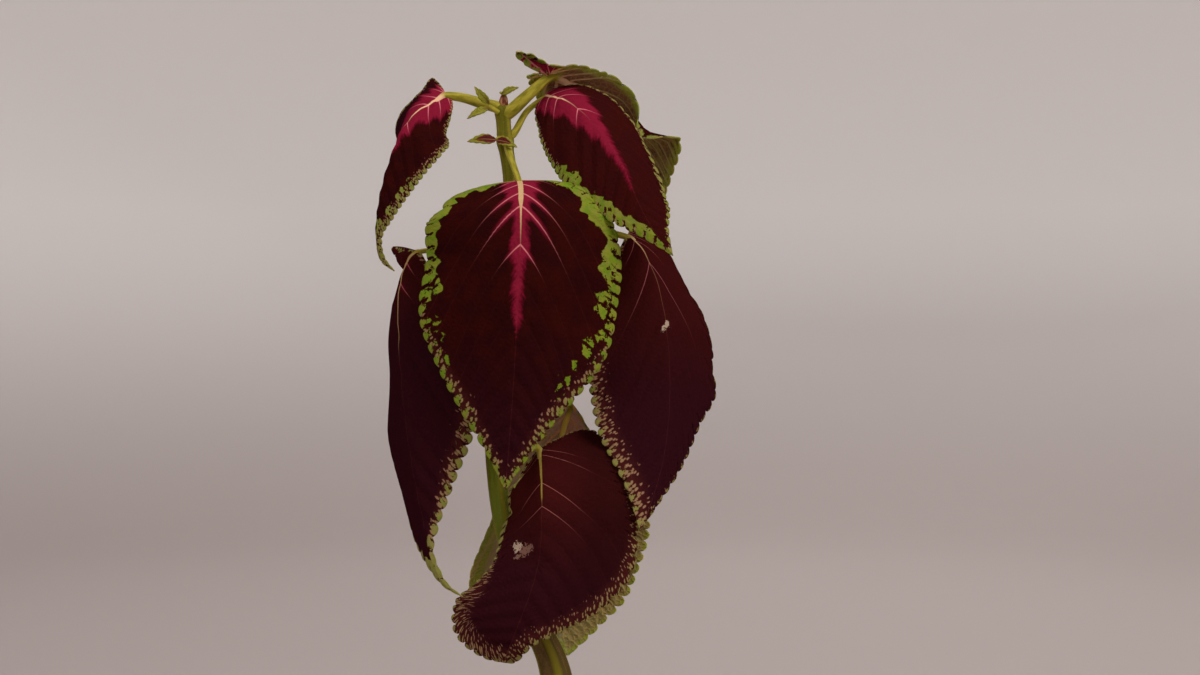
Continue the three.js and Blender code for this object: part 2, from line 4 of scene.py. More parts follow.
import bmesh
import bpy
import numpy as np
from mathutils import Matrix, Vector


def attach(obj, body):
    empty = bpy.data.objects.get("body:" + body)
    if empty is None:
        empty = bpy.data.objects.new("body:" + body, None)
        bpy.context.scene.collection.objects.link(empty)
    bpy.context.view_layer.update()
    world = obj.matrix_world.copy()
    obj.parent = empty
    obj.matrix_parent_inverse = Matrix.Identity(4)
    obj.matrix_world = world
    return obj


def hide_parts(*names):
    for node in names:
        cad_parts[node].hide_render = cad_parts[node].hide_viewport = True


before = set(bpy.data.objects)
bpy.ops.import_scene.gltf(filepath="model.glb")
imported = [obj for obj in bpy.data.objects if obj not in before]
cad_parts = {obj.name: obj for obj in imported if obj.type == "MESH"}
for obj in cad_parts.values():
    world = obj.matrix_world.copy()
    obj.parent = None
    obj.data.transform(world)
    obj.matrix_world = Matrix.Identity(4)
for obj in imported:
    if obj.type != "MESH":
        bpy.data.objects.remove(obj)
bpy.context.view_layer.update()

mm = 0.001


# reading keys, and smooth lines through points
def keyed(keys, place):  # straight-line reading of [place, value] pairs, or one value everywhere
    if isinstance(keys, (int, float)):
        return np.full(np.shape(place), float(keys))
    places, values = zip(*keys)
    return np.interp(place, places, values)


def smoothStep(low, high, value):
    share = np.clip((value - low) / (high - low), 0, 1)
    return share * share * (3 - 2 * share)


def unit(vectors):
    return vectors / np.maximum(np.linalg.norm(vectors, axis=-1, keepdims=True), 1e-9)


class Path:  # a smooth line through points, read by share of its length
    def __init__(self, points, steps=80):
        p = np.array(points, float)
        p = np.vstack([2 * p[0] - p[1], p, 2 * p[-1] - p[-2]])
        t = np.linspace(0, 1, steps, endpoint=False)[:, None]
        stretches = []
        for a, b, c, d in zip(p, p[1:], p[2:], p[3:]):
            ab, bc, cd = (math.sqrt(np.linalg.norm(v)) for v in (b - a, c - b, d - c))
            leave = bc * ((b - a) / ab - (c - a) / (ab + bc) + (c - b) / bc)
            arrive = bc * ((c - b) / bc - (d - b) / (bc + cd) + (d - c) / cd)
            cubic = b + t * leave + t**2 * (3 * (c - b) - 2 * leave - arrive)
            stretches.append(cubic + t**3 * (2 * (b - c) + leave + arrive))
        self.points = np.vstack([*stretches, p[-2:-1]])
        steps = np.linalg.norm(np.diff(self.points, axis=0), axis=1)
        self.walked = np.concatenate([[0], np.cumsum(steps)])
        self.length = self.walked[-1]

    def at(self, share):
        walk = np.asarray(share) * self.length
        return np.stack([np.interp(walk, self.walked, axis) for axis in self.points.T], axis=-1)

    def heading(self, share):
        share = np.asarray(share)
        return unit(self.at(np.minimum(share + 0.004, 1)) - self.at(np.maximum(share - 0.004, 0)))


# nodes, for finishes and for growths
class Wire:  # a socket that can stand in a sum
    def __init__(self, graph, socket):
        self.graph = graph
        self.socket = socket

    def calc(self, operation, *others):
        return self.graph.node("ShaderNodeMath", {"operation": operation}, dict(enumerate([self, *others])))

    def flipped(self, operation, other):
        return self.graph.node("ShaderNodeMath", {"operation": operation}, {0: other, 1: self})

    def __add__(self, other):
        return self.calc("ADD", other)

    def __sub__(self, other):
        return self.calc("SUBTRACT", other)

    def __mul__(self, other):
        return self.calc("MULTIPLY", other)

    def __truediv__(self, other):
        return self.calc("DIVIDE", other)

    def __rsub__(self, other):
        return self.flipped("SUBTRACT", other)

    __radd__ = __add__
    __rmul__ = __mul__

    def other(self, name):  # another output of the same node
        return Wire(self.graph, self.socket.node.outputs[name])

    def atLeast(self, other):
        return self.calc("MAXIMUM", other)

    def atMost(self, other):
        return self.calc("MINIMUM", other)

    def size(self):
        return self.calc("ABSOLUTE")

    def rises(self, low, high):  # 0 below low, 1 above high
        ends = {"Value": self, "From Min": low, "From Max": high}
        return self.graph.node("ShaderNodeMapRange", {"interpolation_type": "SMOOTHSTEP"}, ends)


class Graph:
    def __init__(self, tree):
        self.tree = tree
        tree.nodes.clear()

    def node(self, kind, settings=None, sockets=None, output=0):
        made = self.tree.nodes.new(kind)
        for key, value in (settings or {}).items():
            setattr(made, key, value)
        for key, value in (sockets or {}).items():
            if isinstance(value, Wire):
                self.tree.links.new(value.socket, made.inputs[key])
            else:
                made.inputs[key].default_value = value
        return Wire(self, made.outputs[output]) if len(made.outputs) else made


class Finish(Graph):  # one material
    def __init__(self, name):
        self.material = bpy.data.materials.new(name)
        self.material.use_nodes = True
        super().__init__(self.material.node_tree)

    def grown(self, name):  # a value stored on the mesh
        return self.node("ShaderNodeAttribute", {"attribute_name": name}, output="Fac")

    def place(self):
        return self.node("ShaderNodeTexCoord", output="Object")

    def at(self, x, y):
        return self.node("ShaderNodeCombineXYZ", sockets={0: x, 1: y})

    def noise(self, where, scale, detail=2.0, roughness=0.5):
        sockets = {"Vector": where, "Scale": scale, "Detail": detail, "Roughness": roughness}
        return self.node("ShaderNodeTexNoise", sockets=sockets, output="Fac")

    def cells(self, where, scale=1.0, randomness=1.0, feature="F1"):
        sockets = {"Vector": where, "Scale": scale, "Randomness": randomness}
        settings = {"feature": feature, "voronoi_dimensions": "2D"}
        return self.node("ShaderNodeTexVoronoi", settings, sockets, "Distance")

    def split(self, vector):  # its X, with Y and Z as other outputs
        return self.node("ShaderNodeSeparateXYZ", sockets={0: vector})

    def mix(self, share, first, second):
        sockets = {0: share, 6: colour(first), 7: colour(second)}
        return self.node("ShaderNodeMix", {"data_type": "RGBA"}, sockets, 2)

    def bump(self, height, distance):
        return self.node("ShaderNodeBump", sockets={"Height": height, "Distance": distance}, output="Normal")

    def finish(self, base, roughness, normal, shine, fixed=None):  # shine is the specular level
        sockets = {"Base Color": base, "Roughness": roughness, "Normal": normal}
        sockets = {**sockets, "Specular IOR Level": shine, **(fixed or {})}
        surface = self.node("ShaderNodeBsdfPrincipled", sockets=sockets)
        self.node("ShaderNodeOutputMaterial", sockets={"Surface": surface})
        return self.material


def colour(value):  # a screen colour of 0 to 255 as the linear one that the nodes take, by the sRGB curve
    if isinstance(value, Wire):
        return value
    linear = [(v / 255 / 12.92 if v < 10 else ((v / 255 + 0.055) / 1.055) ** 2.4) for v in value]
    return (*linear, 1.0)


# Finishes of a leaf. Colours are screen values of 0 to 255.
leafColours = {
    "burgundy": (49, 12, 9),
    "night": (42, 10, 11),
    "plum": (44, 14, 20),
    # painted shade: the dark laid on a blade where other leaves shade it
    "deep": (28, 9, 11),
    # painted light: a lighter red where a blade's top takes the most light
    "ruddy": (66, 20, 18),
    "ground": (76, 30, 26),
    "violet": (78, 18, 44),
    "pink": (128, 25, 48),
    "pinkEdge": (94, 14, 32),
    "vein": (232, 186, 146),
    "veinPink": (222, 124, 134),
    "veinGreen": (146, 126, 56),
    "veinFar": (104, 48, 40),
    "lime": (124, 132, 40),
    "limeDeep": (104, 130, 30),
    "limePale": (132, 124, 68),
    "fleck": (146, 106, 84),
    "fleckDeep": (104, 52, 44),
    "scar": (172, 148, 128),
    "scarBrown": (116, 82, 70),
    "under": (124, 84, 60),
    "underPale": (196, 152, 120),
    "underGreen": (150, 134, 74),
    "underVein": (176, 158, 100),
    "underRim": (146, 158, 50),
    "underDark": (84, 46, 36),
    # painted light: the lighter tone of undersides lit through from behind
    "underLight": (198, 168, 168),
    # painted light: the pale yellow of leaf 8's stalk as if lit through from behind
    "paintedStalkGlowColour": (238, 212, 104),
    "underCord": (214, 170, 130),
}


def upperLeafFinish():
    f = Finish("velvetLeafFace")
    c = leafColours
    margin, across, along = f.grown("margin"), f.grown("across"), f.grown("along")
    pitch, closed = f.grown("pitch"), f.grown("closed")
    flat = f.at(along, across)
    fray = f.noise(flat, 1.1, 3.0, 0.6) - 0.5
    mottle = f.noise(flat, 0.09, 3.0)
    row = margin / pitch
    crenation = f.grown("crenation")
    finger = crenation + row * f.grown("lean")  # what grows in from the margin leans along the side veins

    # lime: a lobe in each crenation, then ragged pieces with dark seams between them
    notch = finger.calc("ROUND")
    fromNotch = (finger - notch).size()
    reach = (f.grown("band") / pitch).atMost(0.55) * (fromNotch * 2.6 + closed * 2.0 - 1.0).atMost(1.0)
    lobe = (reach - row + fray * 1.1).rises(-0.04, 0.04)
    where = f.at(finger * 1.1 + fray * 0.6, row + fray * 0.6)
    cell = f.cells(where, 1.0, 0.85)
    luck = f.split(cell.other("Color"))
    seam = f.cells(where, 1.0, 0.85, "DISTANCE_TO_EDGE")
    patchy = f.noise(f.at(finger * 1.2, row * 1.3), 1.0, 1.0, 0.4) - 0.5
    wavy = f.noise(f.at(crenation * 0.9, row * 0.5), 1.0, 0.0) - 0.5
    inner = (margin / f.grown("band") + wavy * 1.3 + patchy * 0.5 + fray * 0.25).rises(0.86, 0.92)
    apartFromLobe = (row - (0.85 - closed) * 1.5 + fray).rises(-0.05, 0.05)
    piece = (seam + (closed - 0.87) * 0.42 + patchy * 0.5 + fray * 0.4).rises(-0.03, 0.03) * apartFromLobe
    piece = piece * (closed * 1.1 + 0.15 - luck + patchy).rises(0.0, 0.08) * (1 - inner)
    core = (0.08 + luck * 0.14 - cell + fray * 0.9).rises(-0.02, 0.03) * luck.rises(0.4, 0.45)
    core = core * (1.4 - closed).rises(0.0, 0.2)
    # the dark slit and dot at each notch are the leaf's own dark running in, and partly painted shade of the
    # notch
    whim = f.noise(f.at(notch * 3.7, 0.0), 1.0, 0.0) - 0.5  # one value to each notch
    past = (row - 0.95 + closed.atMost(1.0) * 0.42 - whim).atLeast(0.0)
    dot = 0.16 - (closed - 1.2).atLeast(0.0) * 0.35
    slit = (dot - (fromNotch * fromNotch + past * past).calc("SQRT") + fray * 0.5).rises(-0.02, 0.03)
    lime = lobe.atLeast(piece) * (1 - slit.atLeast(core))

    # pale dashes that run in from the margin, on a red-brown ground
    rows = f.grown("fleckRows")
    dash = f.cells(f.at(finger * f.grown("fleckFine") + fray * 0.6, row * rows + fray * 0.6))
    density = (1.15 - margin / f.grown("flecks")).atMost(1.0)
    chance = f.split(dash.other("Color"))
    fleck = (density * 0.2 + chance * 0.16 + f.grown("fleckSize") - dash + fray * 0.36).rises(-0.06, 0.08)
    fleck = fleck * (density * 1.7 - chance).rises(0.0, 0.1)
    ground = density.rises(0.05, 0.9) * (f.grown("flecks") / 8.0).atMost(1.0)

    # midrib and side veins
    number = f.grown("veinNumber")
    apart = (number - number.calc("ROUND")).size() * f.grown("veinGap")
    near = f.grown("veinNear")
    lateral = (near * near * 0.26 * f.grown("veinWidth") + 0.07 - apart).rises(-0.1, 0.1)
    halfWidth = f.grown("rib")
    rib = (halfWidth.atLeast(0.12) - across.size() + fray * 0.2).rises(-0.1, 0.16)
    bright = halfWidth.rises(0.05, 0.4)
    halo = (near * 1.3 - apart).rises(-0.9, 0.7) * near.rises(0.35, 0.8) * f.grown("veinPink")

    strokes = f.noise(f.at(number * 6.0, across * 0.2), 1.0, 3.0, 0.6) - 0.5  # along the side veins
    pinkness = (f.grown("pink") + fray * 1.6 + strokes * 4.6).atLeast(halo * 2.4 - 1.0)
    dark = f.mix(mottle.rises(0.38, 0.62), c["burgundy"], c["night"])
    dark = f.mix(f.grown("plum") * (mottle * 0.6 + 0.7), dark, c["plum"])
    # painted light: a lighter red on the best-lit parts of a blade
    dark = f.mix(f.grown("ruddy") * (mottle * 0.8 + 0.4), dark, c["ruddy"])
    # painted shade: darker where other leaves shade the blade
    dark = f.mix(f.grown("deep"), dark, c["deep"])
    dark = f.mix(ground * 0.6, dark, c["ground"])
    base = f.mix(pinkness.rises(-1.0, 0.4), dark, c["pinkEdge"])
    base = f.mix(pinkness.rises(0.0, 1.6), base, f.mix(f.grown("violet"), c["pink"], c["violet"]))
    fleckColour = f.mix(density.rises(0.35, 0.9) * (1 - f.grown("fleckPink")), c["fleck"], c["limePale"])
    fleckColour = f.mix(density.rises(0.0, 0.45), c["fleckDeep"], fleckColour)
    base = f.mix(fleck, base, fleckColour)
    nearNotch = (0.3 - fromNotch).rises(0.0, 0.12) * (0.8 - row).rises(0.0, 0.2)
    nearEdge = (1 - seam.rises(0.0, 0.3)).atLeast(nearNotch)
    pale = (f.grown("pale") + fray * 0.6 + luck * 0.3 + nearEdge * 0.35 - 0.2).rises(0.0, 1.0)
    fresh = f.mix((patchy + fray * 0.5).rises(-0.08, 0.12), c["lime"], c["limeDeep"])
    base = f.mix(lime, base, f.mix(pale, fresh, c["limePale"]))
    lateralColour = f.mix(f.grown("ribGreen") * 0.3, c["veinPink"], c["veinGreen"])
    lateralColour = f.mix(near.rises(0.1, 0.9), c["veinFar"], lateralColour)
    lateralShown = lateral * (near.rises(0.0, 0.6) * 0.75 + 0.1) * (1 - lime) * f.grown("veinTone")
    base = f.mix(lateralShown, base, lateralColour)
    ribColour = f.mix(f.grown("ribGreen"), c["vein"], c["veinGreen"])
    base = f.mix(rib * (bright * 0.75 + 0.25), base, f.mix(bright, c["veinFar"], ribColour))
    torn = f.noise(flat, 0.8, 4.0, 0.65) - 0.5
    scar = (f.grown("scar") + torn * 2.2).rises(0.47, 0.53) * f.grown("scar").rises(0.05, 0.2)
    scarColour = f.mix((f.grown("scarBrown") + torn * 0.8).rises(0.3, 0.7), c["scar"], c["scarBrown"])
    base = f.mix(scar, base, scarColour)

    net = f.cells(flat, 0.42, 1.0, "DISTANCE_TO_EDGE").rises(0.0, 0.45)
    pile = f.noise(flat, 2.6, 3.0, 0.7)
    normal = f.bump(net * 0.75 + pile * 0.3, 0.16 * mm)
    return f.finish(base, 0.7 + fray * 0.16 - scar * 0.1, normal, 0.0)


def underLeafFinish():
    f = Finish("leafUnderside")
    c = leafColours
    margin, across, along = f.grown("margin"), f.grown("across"), f.grown("along")
    flat = f.at(along, across)
    fray = f.noise(flat, 0.9, 3.0, 0.6) - 0.5
    mottle = f.noise(flat, 0.13, 3.0)
    number = f.grown("veinNumber")
    apart = (number - number.calc("ROUND")).size() * f.grown("veinGap")
    near = f.grown("veinNear")
    lateral = (near * 0.4 + 0.35 - apart + fray * 0.3).rises(-0.25, 0.3)
    rib = (1.3 - across.size() - f.grown("share")).rises(-0.3, 0.4)
    netEdge = f.cells(flat, 0.42, 1.0, "DISTANCE_TO_EDGE")
    blotch = f.noise(f.at(number * 2.2, across * 0.3), 1.0, 2.0, 0.6)
    reach = margin + fray * 4
    rim = 1 - reach.rises(1.5, 9.0)
    green = (f.grown("underGreen") + (mottle - 0.5) * 1.4 + rim * 0.5 - 0.25).rises(0.0, 0.9)
    bare = f.mix(f.grown("underPale"), c["under"], c["underPale"])
    # painted light: the underside lightened where it lies in shade but is lit through from behind
    base = f.mix(f.grown("underLight"), f.mix(green, bare, c["underGreen"]), c["underLight"])
    base = f.mix((1 - (reach / f.grown("underRim")).rises(0.5, 1.2)) * 0.85, base, c["underRim"])
    stain = blotch.rises(0.5, 0.6) * f.grown("blotches") * reach.rises(1.5, 3.0)
    base = f.mix(stain * 0.7, base, c["underDark"])
    base = f.mix((1 - netEdge.rises(0.0, 0.16)) * 0.25, base, c["underVein"])
    cordColour = f.mix(near.rises(0.2, 0.8), c["underVein"], c["underCord"])
    base = f.mix(lateral.atLeast(rib) * 0.75, base, cordColour)
    pile = f.noise(flat, 2.6, 3.0, 0.7)
    normal = f.bump(1 - netEdge.rises(0.0, 0.3) + pile * 0.35, 0.3 * mm)
    glow = {"Subsurface Weight": 0.6, "Subsurface Radius": (1.0, 0.8, 0.4), "Subsurface Scale": 1.2 * mm}
    return f.finish(base, 0.66 + fray * 0.1, normal, 0.04, glow)


# green stems
stemColours = {
    "young": (92, 88, 8),
    # middle is the stem's own green, set lighter to lift the shade that leaf 4 casts there: partly painted
    # light
    "middle": (112, 126, 34),
    "old": (86, 70, 20),
    "ridge": (132, 120, 30),
    "blush": (116, 78, 58),
    "petiole": (172, 158, 54),
    "petioleShade": (122, 114, 22),
}

# heights in mm between which a colour sets in
stemHeights = {"middle": (150.0, 195.0), "young": (230.0, 320.0), "unblushed": (125.0, 215.0)}


def stemFinish():
    f = Finish("squareStem")
    c = stemColours
    height, ridge, turn = f.grown("height"), f.grown("ridge"), f.grown("turn")
    streak = f.noise(f.at(turn * 2.4, height * 0.05), 1.0, 3.0, 0.6)
    grain = f.noise(f.place(), 900.0, 2.0)
    base = f.mix(height.rises(*stemHeights["middle"]), c["old"], c["middle"])
    base = f.mix(height.rises(*stemHeights["young"]), base, c["young"])
    blush = (1 - ridge.rises(0.25, 0.8)) * streak.rises(0.35, 0.6)
    blush = blush * (1 - height.rises(*stemHeights["unblushed"]))
    base = f.mix(blush * 0.85, base, c["blush"])
    base = f.mix(ridge.rises(0.55, 1.0) * 0.8, base, c["ridge"])
    base = f.mix((streak + grain * 0.4).rises(0.6, 0.95) * 0.4, base, c["ridge"])
    lines = f.noise(f.at(turn * 9.0, height * 0.12), 1.0, 2.0)
    return f.finish(base, 0.55 + grain * 0.15, f.bump(lines + grain * 0.25, 0.25 * mm), 0.12)


def petioleFinish():
    f = Finish("leafStalk")
    c = stemColours
    height, turn = f.grown("height"), f.grown("turn")
    streak = f.noise(f.at(turn * 3.0, height * 0.12), 1.0, 3.0, 0.6)
    grain = f.noise(f.place(), 1100.0, 2.0)
    base = f.mix(streak.rises(0.35, 0.65), c["petiole"], c["petioleShade"])
    creamy = f.mix(f.grown("ribGreen"), leafColours["vein"], leafColours["veinGreen"])
    # painted light: leaf 8's stalk lightened as if lit through the blade from behind
    base = f.mix(f.grown("joined"), base, f.mix(f.grown("underLight"), creamy, leafColours["paintedStalkGlowColour"]))
    return f.finish(base, 0.55 + grain * 0.15, f.bump(streak + grain * 0.4, 0.15 * mm), 0.12)


def hairFinish():
    f = Finish("stemHair")
    tone = f.noise(f.place(), 60.0, 1.0)
    base = f.mix(tone, (138, 128, 66), (170, 160, 104))
    return f.finish(base, 0.45 + tone * 0.1, f.bump(tone, 0.01 * mm), 0.4)


# building meshes
def newObject(name, data):
    made = bpy.data.objects.new(name, data)
    bpy.context.scene.collection.objects.link(made)
    return made


def evaluatedMesh(piece):  # with its modifiers applied
    graph = bpy.context.evaluated_depsgraph_get()
    return bpy.data.meshes.new_from_object(piece.evaluated_get(graph))


def meshPiece(name, materials, corners, faces, slots=None, values=None):  # corners in mm
    mesh = bpy.data.meshes.new(name)
    mesh.from_pydata((np.asarray(corners) * mm).tolist(), [], faces)
    for key, value in (values or {}).items():
        mesh.attributes.new(key, "FLOAT", "POINT").data.foreach_set("value", np.asarray(value, np.float32))
    for material in materials:
        mesh.materials.append(material)
    if slots is not None:
        mesh.polygons.foreach_set("material_index", np.asarray(slots, np.int32))
    mesh.shade_smooth()
    mesh.update()
    return newObject(name, mesh)


def carried(along):  # a sideways direction for each heading, carried along without twisting
    side = unit(np.cross(along[0], [0.3, 1, 0.2]))
    across = np.zeros_like(along)
    for i, heading in enumerate(along):
        side = across[i] = unit(side - heading * np.dot(side, heading))
    return across


def sweep(path, rings, section, sideways=carried):  # a closed tube of section(share, centres), in mm
    share = np.linspace(0, 1, rings + 1)
    centres, along = path.at(share), path.heading(share)
    across = sideways(along)
    up = np.cross(along, across)
    outline = section(share, centres)
    corners = centres[:, None] + across[:, None] * outline[..., :1] + up[:, None] * outline[..., 1:]
    sides = outline.shape[1]
    faces = []
    for i in range(rings):
        for j in range(sides):
            k = (j + 1) % sides
            faces.append((i * sides + j, i * sides + k, (i + 1) * sides + k, (i + 1) * sides + j))
    corners = np.vstack([corners.reshape(-1, 3), centres[:1], centres[-1:]])
    foot, top = len(corners) - 2, len(corners) - 1
    for j in range(sides):
        k = (j + 1) % sides
        faces.append((foot, k, j))
        faces.append((top, rings * sides + j, rings * sides + k))
    return corners, faces


def roundSection(sides, radius):
    angle = np.linspace(0, 2 * np.pi, sides, endpoint=False)

    def section(share, centres):
        r = radius(share)[:, None, None]
        return r * np.stack([np.cos(angle), np.sin(angle)], axis=-1)

    return section


# leaves
# Form of all blades, in mm and degrees. Some values give way to a leaf's or a side's own.
bladeForm = {
    "thickness": 0.5,
    "columns": 32,  # from midrib to margin
    "perTooth": 9,  # rows of vertices to a crenation
    "scallop": 2.4,  # depth of the notches along the margin
    "curl": 10,  # how far a side bends down from midrib to margin
    "rimWidth": 0.2,  # how far the margin's edge stands out
    "quilting": 0.55,  # how far the blade bulges between its side veins
    "grooveDepth": 0.45,  # of the midrib, on the upper face
    "edgeDroop": 0.35,
    "ribDepth": 1.3,  # of the midrib, on the underside
    "cordDepth": 0.35,  # of the side veins, on the underside
    "lobeFan": 24,  # between the veins behind the stalk
    "veinLean": [1, 1],
    "veinStarts": [0, 0.05, 0.11, 0.25, 0.36, 0.47, 0.57, 0.66, 0.74, 0.81, 0.87, 0.92, 1],
    # how the stalk runs out under the midrib: share of the length, depth and, at the end, radius
    "keel": [[0.012, 0.75, 1], [0.035, 0.95, 1], [0.08, 1.5, 1], [0.14, 1.9, 1], [0.22, 2.1, 0.3]],
}

# Marks with their usual values: a side's own value comes first, then its leaf's, then this one.
marginMarks = {  # places along the margin, from base to tip
    "band": 1, "closed": 0.5, "flecks": 1, "fleckRows": 2.1, "fleckFine": 3.2, "fleckSize": 0.12,
    "fleckPink": 0, "lean": 0.4, "pale": 0.5,
}
midribMarks = {  # places along the midrib
    # Of these marks, the lighter red of lit tops, the dark of shaded parts and the glow of backlit undersides
    # are painted light and shade.
    "rib": 0.5, "ribGreen": 0, "veinPink": 0.3, "veinWidth": 0.6, "veinTone": 1, "plum": 0, "ruddy": 0,
    "deep": 0, "violet": 0, "pink": -1, "underPale": 0, "underGreen": 0.5, "underLight": 0, "underRim": 4,
    "blotches": 0,
}

